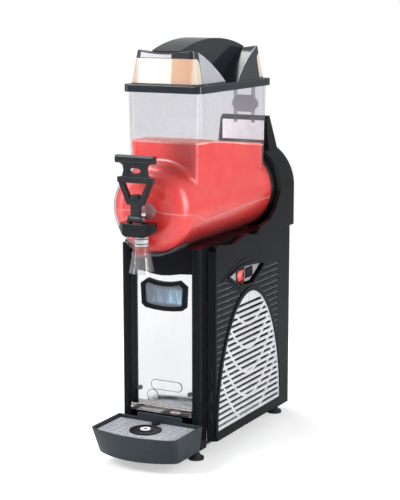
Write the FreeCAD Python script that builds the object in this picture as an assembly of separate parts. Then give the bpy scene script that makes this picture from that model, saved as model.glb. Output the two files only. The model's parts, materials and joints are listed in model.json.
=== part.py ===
"""Counter-top slush machine with one bowl, as an assembly of separate solids.

Millimetres, +Z up, -Y towards the customer, +X to the right of somebody who stands in front of it.
Everything is drawn with y = 0 at the front face of the front columns, and save() then moves each piece
by ORIGIN_SHIFT, which puts the origin on the counter at the centre of the footprint.
"""
import FreeCAD, Part
import math
import os

V = FreeCAD.Vector

# ---------------------------------------------------------------- driving dimensions
HALF_WIDTH = 100.0          # outer face of the side covers
DEPTH = 400.0               # front columns' face to the back panel
TRAY_REACH = 122.0          # how far the drip tray stands out in front
ORIGIN_SHIFT = (TRAY_REACH - DEPTH) / 2
WALL = 2.5                  # moulded plastic wall
CLEAR = 0.3                 # gap between parts that are put together by hand

COLUMN_X = 82.0             # outer side of a column
COLUMN_W = 17.0
COLUMN_D = 30.0
COLUMN_BOTTOM = 20.0
COLUMN_TOP = 402.0
REAR_COLUMN_Y = 328.0
FOOT_X = 68.0
FOOT_Y = (15.0, 357.0)

PANEL_Y = 17.0              # front face of the steel panel
PANEL_HALF = COLUMN_X - COLUMN_W - CLEAR
PANEL_Z = (97.0, 352.0)
SHELF_Z = 95.0
DECK_Z = (346.0, 402.0)

COVER_Y = (37.0, 326.0)
COVER_Z = (31.0, 393.5)
COVER_FACE = 97.5           # flat of the side cover; the arch's lip stands out to HALF_WIDTH
ARCH_CENTRE = 181.0
ARCH_FOOT = 48.0
ARCH_HALF = 136.0
ARCH_RISE = 246.0
ARCH_POINT = 1.06            # 1 is a true ellipse, more is a sharper crown
POWER_SWITCH = (147.0, 329.0, 16.5, 14.0)      # bezel's centre y, centre z, half width, half height
MODE_SWITCH = (184.0, 330.0, 15.5, 10.0)
ROCKER_X = 90.5              # pivot of both rockers
BAR_PITCH = 11.3
RIB_FALL = 0.0072           # curvature of the grille's parabolic ribs
RIB_STEP = 48.0

AXIS_Z = 474.0              # axis of the bowl's drum, the evaporator and the auger
DRUM_R = 82.0
DRUM_FRONT = -50.0
DRUM_BACK = 316.0
DRUM_ROUND = 34.0
BOWL_WALL = 3.0
HOPPER_TOP = 686.8
SLUSH_TOP = [(0, 590.5), (80, 589.5), (310, 561)]       # the drink's level from front to back, as (y, z)
HOPPER_TOP_HALF = 75.5
HOPPER_LOW_HALF = 71.5
HOPPER_TOP_Y = (10.0, 299.5)
HOPPER_LOW_Y = (12.0, 297.0)
HOPPER_CORNER = 15.0

JUNCTION_R = 8.0

AUGER_R = 74.0
AUGER_PITCH = 84.0
EVAPORATOR_R = 55.0
SHAFT_R = 6.0

TAP_Y = -65.0
TUBE_R = 15.5
TUBE_BORE = 12.5
TUBE_Z = (392.0, 452.0)
PORT_Z = 422.0
PISTON_Z = (413.0, 431.0)
PIN_Y = -84.0
PIN_Z = 464.0
HANDLE_TOP = 578.0

TOWER_Y = (318.0, DEPTH)
TOWER_HALF = 93.0
FIN_Y = 342.0                # front of the fin that carries the lamps' contacts

LID_Y = (7.0, 303.0)
LID_Z = 682.0
LID_RIM = 14.0
LID_HALF = 81.5
LID_TOP = 776.5
LID_MID = sum(LID_Y) / 2
SPINE_HALF = 30.0
CROWN_DIP_R = 280.0         # hollow across the crown of each end
LENS_TOP = 743.5

TRAY_TOP = 71.0
TRAY_BOTTOM = 22.0
TRAY_WALL = 3.0
GRID_Z = (61.5, 64.5)
DISC_Y = -56.0
DISC_R = 30.0

POT_X = -10.0                # compressor
POT_Y = 292.0
POT_R = 46.0
POT_TOP = 175.0
FAN_Y = 150.0
FAN_Z = 160.0


# ---------------------------------------------------------------- helpers
def box(x, y, z):
    """A block between two limits on each axis."""
    return Part.makeBox(x[1] - x[0], y[1] - y[0], z[1] - z[0], V(x[0], y[0], z[0]))


def rod(radius, start, end):
    """A cylinder from one point to another."""
    a, b = V(*start), V(*end)
    return Part.makeCylinder(radius, (b - a).Length, a, b - a)


def ring(outer, inner, start, end):
    return rod(outer, start, end).cut(rod(inner, start, end))


def fused(shapes):
    first = shapes[0]
    return first.multiFuse(shapes[1:]).removeSplitter() if len(shapes) > 1 else first


def polygon_wire(points):
    return Part.makePolygon([V(*p) for p in points] + [V(*points[0])])


def prism(points, direction):
    """A closed outline of 3-D points, pushed along a vector."""
    return Part.Face(polygon_wire(points)).extrude(V(*direction))


def side_prism(outline, x):
    """An outline of (y, z) points, extruded across x."""
    return prism([(x[0], y, z) for y, z in outline], (x[1] - x[0], 0, 0))


def plan_prism(outline, z):
    """An outline of (x, y) points, extruded up z."""
    return prism([(px, py, z[0]) for px, py in outline], (0, 0, z[1] - z[0]))


def front_prism(outline, y):
    """An outline of (x, z) points, extruded back along y."""
    return prism([(px, y[0], pz) for px, pz in outline], (0, y[1] - y[0], 0))


def mirrored(shape):
    return shape.mirror(V(0, 0, 0), V(1, 0, 0))


def edges_along(shape, direction, keep=lambda edge: True):
    """Straight edges parallel to a direction, for a fillet."""
    axis = V(*direction)
    found = []
    for edge in shape.Edges:
        if len(edge.Vertexes) != 2:
            continue
        run = edge.Vertexes[1].Point - edge.Vertexes[0].Point
        if run.Length > 1e-6 and abs(run.normalize().dot(axis)) > 0.98 and keep(edge):
            found.append(edge)
    return found


def rounded_rectangle(half_x, y, z, radius):
    """A level wire with rounded corners."""
    x0, x1, y0, y1, r = -half_x, half_x, y[0], y[1], radius
    s = r * (1 - math.sqrt(0.5))
    line, arc = Part.makeLine, Part.Arc
    return Part.Wire([
        line(V(x0 + r, y0, z), V(x1 - r, y0, z)),
        arc(V(x1 - r, y0, z), V(x1 - s, y0 + s, z), V(x1, y0 + r, z)).toShape(),
        line(V(x1, y0 + r, z), V(x1, y1 - r, z)),
        arc(V(x1, y1 - r, z), V(x1 - s, y1 - s, z), V(x1 - r, y1, z)).toShape(),
        line(V(x1 - r, y1, z), V(x0 + r, y1, z)),
        arc(V(x0 + r, y1, z), V(x0 + s, y1 - s, z), V(x0, y1 - r, z)).toShape(),
        line(V(x0, y1 - r, z), V(x0, y0 + r, z)),
        arc(V(x0, y0 + r, z), V(x0 + s, y0 + s, z), V(x0 + r, y0, z)).toShape(),
    ])


def pipe(points, radius):
    """A round tube with a solid core along straight runs, with ball corners."""
    shapes = []
    for start, end in zip(points, points[1:]):
        shapes.append(rod(radius, start, end))
    for corner in points[1:-1]:
        shapes.append(Part.makeSphere(radius, V(*corner)))
    return fused(shapes)


def screw_head(centre, axis, radius=4.5, height=2.5):
    """A domed head with a cross recess."""
    c, a = V(*centre), V(*axis)
    head = Part.makeCylinder(radius, height, c, a)
    side = V(0, 0, 1) if abs(a.z) < 0.5 else V(1, 0, 0)
    for along in (side, a.cross(side)):
        across = a.cross(along)
        start = c + a * (height - 1.2) - along * (radius * 0.6) - across * 0.5
        end = start + along * (radius * 1.2)
        slot = Part.Face(Part.makePolygon([start, end, end + across, start + across, start]))
        head = head.cut(slot.extrude(a * 3))
    return head


def save(name, shape):
    """Writes one sub-part, moved so that the origin is the centre of the footprint."""
    moved = shape.copy()
    moved.translate(V(0, ORIGIN_SHIFT, 0))
    solids = moved.Solids
    if not solids or not moved.isValid():
        raise RuntimeError(f"{name} is not a valid solid")
    out = solids[0] if len(solids) == 1 else Part.makeCompound(solids)
    out.exportStep(f"parts/{name}.step")
    print(f"{name}: {len(solids)} solid(s), {sum(s.Volume for s in solids) / 1000:.1f} cm3")


# ---------------------------------------------------------------- frame and casing
def front_column():
    """Right-hand front column: a rounded hollow post, closed at the top."""
    body = box((COLUMN_X - COLUMN_W, COLUMN_X), (0, COLUMN_D), (COLUMN_BOTTOM, COLUMN_TOP))
    body = body.makeFillet(6, edges_along(body, (0, 0, 1), lambda e: e.CenterOfMass.y < 1))
    hollow = box((COLUMN_X - COLUMN_W + WALL, COLUMN_X - WALL), (WALL + 1, COLUMN_D + 1),
                 (COLUMN_BOTTOM + 6, COLUMN_TOP - 4))
    return body.cut(hollow)


def rear_column():
    """Right-hand rear column, open towards the machine's inside."""
    body = box((COLUMN_X - COLUMN_W + 0.3, COLUMN_X), (REAR_COLUMN_Y, DEPTH),
               (COLUMN_BOTTOM - 4, COLUMN_TOP - 9))
    body = body.makeFillet(8, edges_along(body, (0, 0, 1), lambda e: e.CenterOfMass.y > DEPTH - 1
                                          and e.CenterOfMass.x > COLUMN_X - 1))
    hollow = box((COLUMN_X - COLUMN_W - 1, COLUMN_X - WALL), (REAR_COLUMN_Y + WALL, DEPTH - WALL),
                 (COLUMN_BOTTOM + 6, COLUMN_TOP - 12))
    return body.cut(hollow)


def base_pan():
    """Folded steel pan that carries the compressor and the condenser."""
    sheet = 1.5
    half = COLUMN_X - COLUMN_W
    outer = box((-half, half), (2, DEPTH - 5), (24, 44))
    pan = outer.cut(box((-half + sheet, half - sheet), (2 + sheet, DEPTH - 5 - sheet), (24 + sheet, 50)))
    straps = []
    for y in ((COLUMN_D + 1, COLUMN_D + 20), (REAR_COLUMN_Y - 30, REAR_COLUMN_Y - 2)):
        straps.append(box((-COLUMN_X, COLUMN_X), y, (24, 24 + sheet)))
    return fused([pan] + straps)


def foot(x, y):
    """Levelling foot: a rubber-faced disc on a short post."""
    disc = rod(15, (x, y, 0), (x, y, 5))
    disc = disc.makeFillet(1.5, [e for e in disc.Edges if e.CenterOfMass.z > 4.9])
    neck = Part.makeCone(11, 7, 6, V(x, y, 5))
    post = rod(6, (x, y, 10), (x, y, COLUMN_BOTTOM - 4))
    return fused([disc, neck, post])


def front_panel():
    """Polished sheet with the display cut-out, folded forward at the foot into a shelf and a rail."""
    sheet = 1.2
    face = box((-PANEL_HALF, PANEL_HALF), (PANEL_Y, PANEL_Y + sheet), (SHELF_Z, PANEL_Z[1]))
    shelf = box((-PANEL_HALF, PANEL_HALF), (2, PANEL_Y + sheet), (SHELF_Z - sheet, SHELF_Z))
    rail = box((-PANEL_HALF, PANEL_HALF), (2, 2 + sheet), (82, SHELF_Z))
    rail_bead = box((-PANEL_HALF, PANEL_HALF), (0.8, 2), (86.5, 90.5))
    panel = fused([face, shelf, rail, rail_bead])
    panel = panel.cut(front_prism(display_outline(-3), (PANEL_Y - 1, PANEL_Y + 3)))
    for x in (-54, 54):
        panel = panel.cut(rod(2.2, (x, PANEL_Y - 1, 122), (x, PANEL_Y + 3, 122)))
    return panel


def kick_panel():
    """Polished plate behind the drip tray."""
    return box((-PANEL_HALF, PANEL_HALF), (PANEL_Y, PANEL_Y + 1.2), (46, SHELF_Z - 1.5))


def display_outline(grow):
    """Display surround: a hexagon with a dipped top, drawn as (x, z)."""
    g = grow
    half = [(0, 332 + g), (16, 333 + g), (34, 337 + g), (49 + g, 326 + g * 0.4), (47 + g, 287 - g * 0.6),
            (39 + g * 0.5, 280.5 - g), (20, 278 - g), (0, 277 - g)]
    return half + [(-x, z) for x, z in reversed(half[1:-1])]


def display_bezel():
    """Black surround, standing 4 mm proud, with a dished window."""
    body = front_prism(display_outline(0), (PANEL_Y - 4, PANEL_Y))
    plug = front_prism(display_outline(-3.4), (PANEL_Y, PANEL_Y + 6))
    window = front_prism(display_outline(-8), (PANEL_Y - 5, PANEL_Y + 8))
    return fused([body, plug]).cut(window)


def display_lens():
    return front_prism(display_outline(-8.3), (PANEL_Y - 1.5, PANEL_Y + 1))


def control_board():
    """Circuit board behind the window, with the display module on its front and six chips on its back."""
    board = box((-42, 42), (PANEL_Y + 8, PANEL_Y + 9.6), (270, 340))
    chips = []
    for x in (-34, -8, 18):
        for z in (282, 308):
            chips.append(box((x, x + 14), (PANEL_Y + 9.6, PANEL_Y + 13), (z, z + 9)))
    display = box((-36, 36), (PANEL_Y + 6.3, PANEL_Y + 8), (290, 326))
    return fused([board, display] + chips)


def deck():
    """Top moulding: apron between the columns and a trough under the drum."""
    apron_sag = [(-PANEL_HALF, 353), (-40, 351.5), (-18, 347.5), (0, DECK_Z[0]), (18, 347.5), (40, 351.5),
                 (PANEL_HALF, 353), (PANEL_HALF, DECK_Z[1]), (-PANEL_HALF, DECK_Z[1])]
    apron = front_prism(apron_sag, (6, PANEL_Y - 0.2))
    top = box((-PANEL_HALF, PANEL_HALF), (6, TOWER_Y[0] - 1), (376, DECK_Z[1]))
    wings = box((-COLUMN_X + 1, COLUMN_X - 1), (COLUMN_D + 0.5, TOWER_Y[0] - 1), (388, DECK_Z[1]))
    body = fused([apron, top, wings])
    trough = rod(DRUM_R + 3, (0, -5, AXIS_Z), (0, TOWER_Y[0] + 1, AXIS_Z))
    body = body.cut(trough)
    inside = box((-PANEL_HALF + WALL, PANEL_HALF - WALL), (PANEL_Y + 3, TOWER_Y[0] - 1 - WALL),
                 (370, 385.5))
    return body.cut(inside)


def drip_gutter():
    """Clear gutter under the drum's front, hung on the apron, which carries condensate to the sides."""
    trough = ring(DRUM_R + 4.6, DRUM_R + 2.4, (0, -26, AXIS_Z), (0, 5.7, AXIS_Z))
    lip = ring(DRUM_R + 4.6, DRUM_R + 0.8, (0, -28, AXIS_Z), (0, -26, AXIS_Z))
    return trough.fuse(lip).removeSplitter().common(box((-56, 56), (-30, 10), (380, 412)))


def arch_outline(grow, steps=40):
    """The grille's arch as (y, z) points: half an ellipse, slightly pointed at the crown."""
    points = []
    for i in range(steps + 1):
        a = math.pi * i / steps
        height = (ARCH_RISE + 2 * grow) * abs(math.sin(a)) ** ARCH_POINT
        points.append((ARCH_CENTRE - (ARCH_HALF + grow) * math.cos(a), ARCH_FOOT - grow + height))
    return points


def leaf_outline(grow):
    """The switch recess: a leaf with a level crown, as (y, z)."""
    g = grow
    return [(92 - 1.6 * g, 337), (128, 344.5 + g), (165, 347 + g), (205, 344.5 + g), (240 + 1.6 * g, 339),
            (212 + g, 322 - g * 0.4), (188, 310 - g), (140, 311 - g), (112 - g, 326 - g * 0.6)]


def louvre_levels():
    return [114.6 + 11.7 * i for i in range(19)]


def side_cover():
    """Right-hand side cover: a shell with a raised arch, louvres each side of it and a switch recess."""
    y0, y1 = COVER_Y
    plan = [(COLUMN_X + 0.3, y0 - 6), (COLUMN_X + 2, y0 - 6), (COVER_FACE - 1, y0), (COVER_FACE, y0 + 2),
            (COVER_FACE, y1 - 10), (COVER_FACE - 8, y1), (COLUMN_X + 0.3, y1)]
    body = plan_prism(plan, COVER_Z)
    inner_plan = [(COLUMN_X - 5, y0 - 3), (COLUMN_X + 3, y0 - 3), (COVER_FACE - WALL, y0 + WALL + 1),
                  (COVER_FACE - WALL, y1 - 11), (COVER_FACE - 10, y1 - WALL), (COLUMN_X - 5, y1 - WALL)]
    body = body.cut(plan_prism(inner_plan, (COVER_Z[0] + WALL, COVER_Z[1] - WALL)))
    crest = [(y0 + 2, 380), (y0 + 2, 400), (55, 403), (90, 398), (115, 396), (140, 402), (165, 408),
             (190, 403), (206, 400), (226, 413), (268, 421), (292, 438), (304, 456), (312, 468),
             (316, 470), (316, 380)]
    crest_plate = side_prism(crest, (TOWER_HALF - 3, COVER_FACE))
    lip = side_prism(arch_outline(9), (COVER_FACE - 1, HALF_WIDTH - 0.5))
    skirt = box((COVER_FACE - 1, HALF_WIDTH), (y0 + 3, y1 - 8), (COVER_Z[0], 46))
    brow = side_prism(leaf_outline(6), (COVER_FACE - 1, HALF_WIDTH - 0.5))
    bead = [(56, 331), (58, 329), (106, 350), (150, 360), (230, 356), (231, 358), (150, 363), (104, 353)]
    bead = side_prism(bead, (COVER_FACE - 1, COVER_FACE + 1))
    body = fused([body, crest_plate, lip, brow, bead, skirt])
    body = body.cut(side_prism(arch_outline(0), (COLUMN_X - 6, 110)))
    body = body.cut(side_prism(leaf_outline(0), (COVER_FACE - WALL - 1, 110)))
    body = body.cut(side_prism(leaf_outline(-3), (COLUMN_X - 6, 110)))
    blocked = side_prism(arch_outline(11), (80, 110)).fuse(side_prism(leaf_outline(12), (80, 110)))
    slots = []
    for z in louvre_levels():
        slots.append(box((COVER_FACE - WALL - 2, 99), (y0 + 6, y1 - 16), (z, z + 6.2)))
    body = body.cut(fused(slots).cut(blocked))
    vents = [box((COLUMN_X + 4, COVER_FACE - 5), (y0 - 8, y0 + 3), (z, z + 26)) for z in (64, 104, 145)]
    return body.cut(fused(vents))


def louvre_blades():
    """Slanted blades behind the side cover's slots, tied in two groups, without the chips the arch leaves."""
    y0, y1 = COVER_Y
    blades = []
    for z in louvre_levels():
        back, front = COVER_FACE - WALL - 4, COVER_FACE - 0.4
        outline = [(back, z + 9), (back, z + 7.6), (front, z + 1.2), (front, z + 2.6)]
        blades.append(front_prism(outline, (y0 + 6.3, y1 - 16.3)))
    blocked = side_prism(arch_outline(11.4), (80, 110)).fuse(side_prism(leaf_outline(12.4), (80, 110)))
    blades = Part.makeCompound(blades).cut(blocked)
    tie_x = (COVER_FACE - WALL - 6, COVER_FACE - WALL - 4)
    tie = [box(tie_x, (y, y + 3), (118, 334)) for y in (y0 + 7, y1 - 22)]
    groups = fused([blades] + tie).cut(side_prism(arch_outline(3), (80, 110)))
    return Part.makeCompound([solid for solid in groups.Solids if solid.Volume > 100])


def grille():
    """Light grille plate: level bars in the arch, crossed by nested parabolic ribs."""
    x = (COVER_FACE - 3.5, COVER_FACE)
    face = side_prism(arch_outline(-CLEAR), x)
    inner = side_prism(arch_outline(-4), (80, 110))
    slots = []
    level = ARCH_FOOT + 6
    while level < ARCH_FOOT + ARCH_RISE - 14:
        slots.append(box((80, 110), (0, 400), (level, level + 5.6)))
        level += BAR_PITCH
    plate = face.cut(fused(slots).common(inner))
    ribs = []
    for k in range(5):
        low = 228 - RIB_STEP * k
        crest = [(ARCH_CENTRE + t * 10, low + RIB_FALL * (t * 10) ** 2) for t in range(-14, 15)]
        outline = crest + [(y, z + 4.5 + 0.03 * abs(y - ARCH_CENTRE)) for y, z in reversed(crest)]
        ribs.append(side_prism(outline, (x[0] + 0.5, x[1])).common(side_prism(arch_outline(-1), (80, 110))))
    latch = box((x[0], x[1] + 0.8), (ARCH_CENTRE - 8, ARCH_CENTRE + 8), (278, 290))
    return fused([plate] + ribs + [latch])


def switch_plate():
    """Pale plate in the recess, cut out for both switches."""
    plate = side_prism(leaf_outline(-3.3), (COVER_FACE - 8, COVER_FACE - 6))
    for y, z, half_y, half_z in (POWER_SWITCH, MODE_SWITCH):
        hole_y, hole_z = half_y - 1.7, half_z - 1.7
        plate = plate.cut(box((80, 110), (y - hole_y, y + hole_y), (z - hole_z, z + hole_z)))
    return plate


def switch_housing(y, z, half_y, half_z):
    """Snap-in frame round a rocker, behind a thin bezel."""
    def block(x, inset):
        dy, dz = half_y - inset, half_z - inset
        return box(x, (y - dy, y + dy), (z - dz, z + dz))
    outer = block((COVER_FACE - 20, COVER_FACE - 6), 2)
    bezel = block((COVER_FACE - 6, COVER_FACE - 4.5), 0)
    return fused([outer, bezel]).cut(block((COVER_FACE - 17, 110), 3))


def rocker(y, z, half_y, half_z):
    """Rocker button: two facets that meet over its pivot pin, on a body that narrows inwards."""
    x = COVER_FACE - 3.5
    reach, root = half_z - 3.7, half_z - 6.5
    outline = [(x - reach * 0.2, z), (x, z + reach), (x - 9, z + root), (x - 9, z - root), (x, z - reach)]
    side = half_y - 3.6
    body = prism([(px, y - side, pz) for px, pz in outline], (0, 2 * side, 0))
    return body.fuse(rod(1.2, (ROCKER_X, y - side - 0.4, z), (ROCKER_X, y + side + 0.4, z)))


def back_panel():
    sheet = box((-COLUMN_X + 20.5, COLUMN_X - 20.5), (DEPTH - 3, DEPTH - 1.5), (30, 390))
    slots = [box((-40, 40), (DEPTH - 5, DEPTH), (z, z + 5)) for z in range(90, 340, 14)]
    return sheet.cut(fused(slots)).cut(rod(8, (38, DEPTH - 6, 60), (38, DEPTH + 2, 60)))


def power_cord():
    sleeve = rod(7.7, (38, DEPTH - 12, 60), (38, DEPTH - 0.5, 60))
    nut = rod(10, (38, DEPTH - 12, 60), (38, DEPTH - 3.2, 60))
    gland = sleeve.fuse(nut)
    lead = pipe([(38, DEPTH - 30, 60), (38, DEPTH - 11, 60)], 4)
    return fused([gland, lead])


# ---------------------------------------------------------------- rear tower
def tombstone(radius, y, base):
    """Solid with a true round arch on straight sides."""
    arch = rod(radius, (0, y[0], AXIS_Z), (0, y[1], AXIS_Z))
    legs = box((-radius, radius), y, (base, AXIS_Z))
    return arch.fuse(legs).removeSplitter()


def tower():
    """Rear housing that carries the evaporator: an arched shell with a fin for the lid's lamp contact."""
    body = tombstone(TOWER_HALF, TOWER_Y, COLUMN_TOP - 8)
    for y, radius in ((TOWER_Y[1], 14), (TOWER_Y[0], 7)):
        upper = [e for e in body.Edges if e.CenterOfMass.z > COLUMN_TOP]
        body = body.makeFillet(radius, [e for e in upper if abs(e.CenterOfMass.y - y) < 0.5])
    fin = front_prism([(-60, 530), (-51, 616), (51, 616), (60, 530)], (FIN_Y, TOWER_Y[1] - 14))
    fin_side = [(FIN_Y, 525), (FIN_Y, 608), (350, 617), (358, 616), (380, 552), (386, 525)]
    fin = fin.common(side_prism(fin_side, (-70, 70)))
    body = fused([body, fin])
    cavity = tombstone(TOWER_HALF - 4, (TOWER_Y[0] + 5, TOWER_Y[1] - 4), COLUMN_TOP - 4)
    body = body.cut(cavity)
    body = body.cut(side_prism([(346, 530), (346, 604), (354, 609), (376, 545), (376, 530)], (-46, 46)))
    body = body.cut(rod(EVAPORATOR_R + 0.2, (0, TOWER_Y[0] - 1, AXIS_Z), (0, TOWER_Y[0] + 6, AXIS_Z)))
    body = body.cut(box((-60, 60), (TOWER_Y[0] + 6, TOWER_Y[1] - 20), (COLUMN_TOP - 12, COLUMN_TOP)))
    return body.cut(box((-120, 120), (TOWER_Y[0] - 20, DEPTH + 20), (300, COLUMN_TOP - 8)))


def contact_plate():
    """Pale contact cover on the front of the fin."""
    plate = box((-46, 46), (FIN_Y - 1.9, FIN_Y), (568, 607))
    return plate.makeFillet(1, edges_along(plate, (0, 1, 0)))


def bowl_gasket():
    """Soft collar that the open end of the drum is pushed on to."""
    collar = ring(DRUM_R - 1, EVAPORATOR_R + 6.5, (0, DRUM_BACK - 6, AXIS_Z), (0, TOWER_Y[0], AXIS_Z))
    drum_end = ring(DRUM_R + 1, DRUM_R - BOWL_WALL - 0.2, (0, DRUM_BACK - 7, AXIS_Z),
                    (0, DRUM_BACK + 0.2, AXIS_Z))
    return collar.cut(drum_end)


def evaporator():
    """Cold drum: a closed steel can whose flange bolts to the tower."""
    can = rod(EVAPORATOR_R, (0, -6, AXIS_Z), (0, TOWER_Y[0] + 8, AXIS_Z))
    can = can.makeFillet(6, [e for e in can.Edges if e.CenterOfMass.y < -5])
    flange = ring(EVAPORATOR_R + 14, EVAPORATOR_R, (0, TOWER_Y[0] + 5, AXIS_Z), (0, TOWER_Y[0] + 8, AXIS_Z))
    hollow = rod(EVAPORATOR_R - 2, (0, -4, AXIS_Z), (0, TOWER_Y[0] + 6, AXIS_Z))
    body = can.fuse(flange).cut(hollow)
    bush = ring(12, SHAFT_R + 0.1, (0, -6, AXIS_Z), (0, 10, AXIS_Z))
    rear_bush = ring(16, SHAFT_R + 0.1, (0, TOWER_Y[0] - 4, AXIS_Z), (0, TOWER_Y[0] + 8, AXIS_Z))
    body = fused([body, bush, rear_bush])
    return body.cut(rod(SHAFT_R + 0.1, (0, -10, AXIS_Z), (0, TOWER_Y[0] + 20, AXIS_Z)))


def evaporator_coil():
    """Copper coil inside the cold drum, as stacked rings on a riser."""
    rings = [Part.makeTorus(EVAPORATOR_R - 7, 4.2, V(0, y, AXIS_Z), V(0, 1, 0)) for y in range(24, 306, 16)]
    riser = rod(4, (0, 24, AXIS_Z - EVAPORATOR_R + 7), (0, 304, AXIS_Z - EVAPORATOR_R + 7))
    return fused(rings + [riser])


def drive_shaft():
    return rod(SHAFT_R, (0, -30, AXIS_Z), (0, 344, AXIS_Z))


def shaft_seal():
    return ring(13, SHAFT_R + 0.15, (0, -9, AXIS_Z), (0, -6.1, AXIS_Z))


def auger():
    """Spiral scraper round the evaporator, carried by a three-armed nose on the shaft."""
    radius = (EVAPORATOR_R + AUGER_R) / 2 + 1
    helix = Part.makeHelix(AUGER_PITCH, 296.0, radius)
    inner, outer = radius - 7.5, AUGER_R - 0.2
    section = polygon_wire([(inner, 0, -3), (outer, 0, -3), (outer, 0, 3), (inner, 0, 3)])
    blade = Part.Wire(helix).makePipeShell([section], True, True)
    blade.rotate(V(0, 0, 0), V(1, 0, 0), -90)
    blade.translate(V(0, 2, AXIS_Z))
    nose = ring(13, SHAFT_R + 0.02, (0, -40, AXIS_Z), (0, -12, AXIS_Z))
    hoop = ring(AUGER_R - 1, AUGER_R - 9, (0, -20, AXIS_Z), (0, -12, AXIS_Z))
    arm = box((8, AUGER_R - 1), (-20, -12), (-5, 5))
    bar = box((radius - 3, AUGER_R - 1), (-13, 300), (-3.5, 3.5))
    bars = []
    for k in range(3):
        for pattern in (arm, bar):
            turned = pattern.copy()
            turned.rotate(V(0, 0, 0), V(0, 1, 0), 120 * k)
            turned.translate(V(0, 0, AXIS_Z))
            bars.append(turned)
    body = fused([nose, hoop] + bars + [blade])
    return body.cut(rod(SHAFT_R + 0.02, (0, -29.9, AXIS_Z), (0, 0, AXIS_Z)))


def gearmotor():
    """Gearbox that takes the end of the drive shaft, with its motor behind."""
    gearbox = rod(40, (0, 344, AXIS_Z), (0, 362, AXIS_Z))
    gearbox = gearbox.cut(rod(SHAFT_R + 0.1, (0, 340, AXIS_Z), (0, 346, AXIS_Z)))
    motor = rod(30, (0, 362, AXIS_Z), (0, 394, AXIS_Z))
    return fused([gearbox, motor])


def motor_plate():
    """Plate on three pillars behind the tower's front wall, with a clearance hole for the shaft."""
    plate = ring(82, SHAFT_R + 1, (0, 340, AXIS_Z), (0, 343.8, AXIS_Z))
    pillars = []
    for angle in (30, 150, 270):
        x, z = 77 * math.cos(math.radians(angle)), AXIS_Z + 77 * math.sin(math.radians(angle))
        pillars.append(rod(4, (x, TOWER_Y[0] + 5.1, z), (x, 341, z)))
    return fused([plate] + pillars)


# ---------------------------------------------------------------- bowl and product
def drum_solid(shrink, back):
    """The drum as a solid with a rounded front, shrunk by a wall."""
    body = rod(DRUM_R - shrink, (0, DRUM_FRONT + shrink, AXIS_Z), (0, back, AXIS_Z))
    rim = [e for e in body.Edges if abs(e.CenterOfMass.y - (DRUM_FRONT + shrink)) < 0.1]
    return body.makeFillet(DRUM_ROUND - shrink, rim)


def hopper_solid(shrink, top):
    """The hopper as a drafted solid with rounded corners."""
    reach = (top - AXIS_Z) / (HOPPER_TOP - AXIS_Z)
    half = HOPPER_LOW_HALF + (HOPPER_TOP_HALF - HOPPER_LOW_HALF) * reach - shrink
    y0 = HOPPER_LOW_Y[0] + (HOPPER_TOP_Y[0] - HOPPER_LOW_Y[0]) * reach + shrink
    y1 = HOPPER_LOW_Y[1] + (HOPPER_TOP_Y[1] - HOPPER_LOW_Y[1]) * reach - shrink
    low_y = (HOPPER_LOW_Y[0] + shrink, HOPPER_LOW_Y[1] - shrink)
    low = rounded_rectangle(HOPPER_LOW_HALF - shrink, low_y, AXIS_Z, HOPPER_CORNER - shrink)
    high = rounded_rectangle(half, (y0, y1), top, HOPPER_CORNER - shrink)
    return Part.makeLoft([low, high], True, True)


def vessel_solid(shrink, back, top):
    """Drum and hopper together, with a fillet where they meet."""
    body = drum_solid(shrink, back).fuse(hopper_solid(shrink, top)).removeSplitter()
    junction = []
    for edge in body.Edges:
        seam = isinstance(edge.Curve, (Part.Line, Part.LineSegment)) and abs(edge.CenterOfMass.x) < 0.1
        level = edge.BoundBox.ZMin > AXIS_Z + 20 and edge.BoundBox.ZMax < AXIS_Z + DRUM_R + 4
        under = HOPPER_LOW_Y[0] - 8 < edge.CenterOfMass.y < HOPPER_LOW_Y[1] + 5
        if level and under and not seam:
            junction.append(edge)
    return body.makeFillet(JUNCTION_R + shrink, junction)


def bowl():
    """Clear bowl: drum, hopper, nose boss and the tap's tube in one moulding."""
    outer = vessel_solid(0, DRUM_BACK, HOPPER_TOP)
    boss = rod(16, (0, DRUM_FRONT - 7, AXIS_Z), (0, DRUM_FRONT + 2, AXIS_Z))
    tube = rod(TUBE_R, (0, TAP_Y, TUBE_Z[0]), (0, TAP_Y, TUBE_Z[1]))
    neck = rod(10, (0, TAP_Y, PORT_Z), (0, DRUM_FRONT + 10, PORT_Z))
    outer = fused([outer, boss, tube, neck])
    inner = vessel_solid(BOWL_WALL, DRUM_BACK + 1, HOPPER_TOP + 1)
    body = outer.cut(inner)
    body = body.cut(rod(TUBE_BORE, (0, TAP_Y, TUBE_Z[0] - 1), (0, TAP_Y, TUBE_Z[1] + 1)))
    return body.cut(rod(7, (0, TAP_Y, PORT_Z), (0, DRUM_FRONT + 12, PORT_Z)))


def spout_skirt():
    """Clear splash skirt round the end of the tube."""
    outer = Part.makeCone(23, TUBE_R + 2.2, 30, V(0, TAP_Y, 364))
    outer = outer.fuse(rod(TUBE_R + 2.2, (0, TAP_Y, 394), (0, TAP_Y, 402)))
    inner = Part.makeCone(21, TUBE_R + 0.1, 28, V(0, TAP_Y, 364))
    return outer.cut(inner).cut(rod(TUBE_R + 0.1, (0, TAP_Y, 390), (0, TAP_Y, 403)))


def slush():
    """The frozen drink: up to its level in the hopper, and a coat on the drum outside the auger's sweep."""
    gap = BOWL_WALL + 0.3
    fill = vessel_solid(gap, DRUM_BACK - 7, SLUSH_TOP[0][1] + 1)
    fill = fill.cut(side_prism(SLUSH_TOP + [(310, 640), (0, 640)], (-90, 90)))
    sweep = rod(AUGER_R + 0.6, (0, -21.5, AXIS_Z), (0, DRUM_BACK + 5, AXIS_Z))
    nose = rod(14, (0, -41.5, AXIS_Z), (0, 0, AXIS_Z))
    return fill.cut(sweep.fuse(nose)).removeSplitter()


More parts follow.
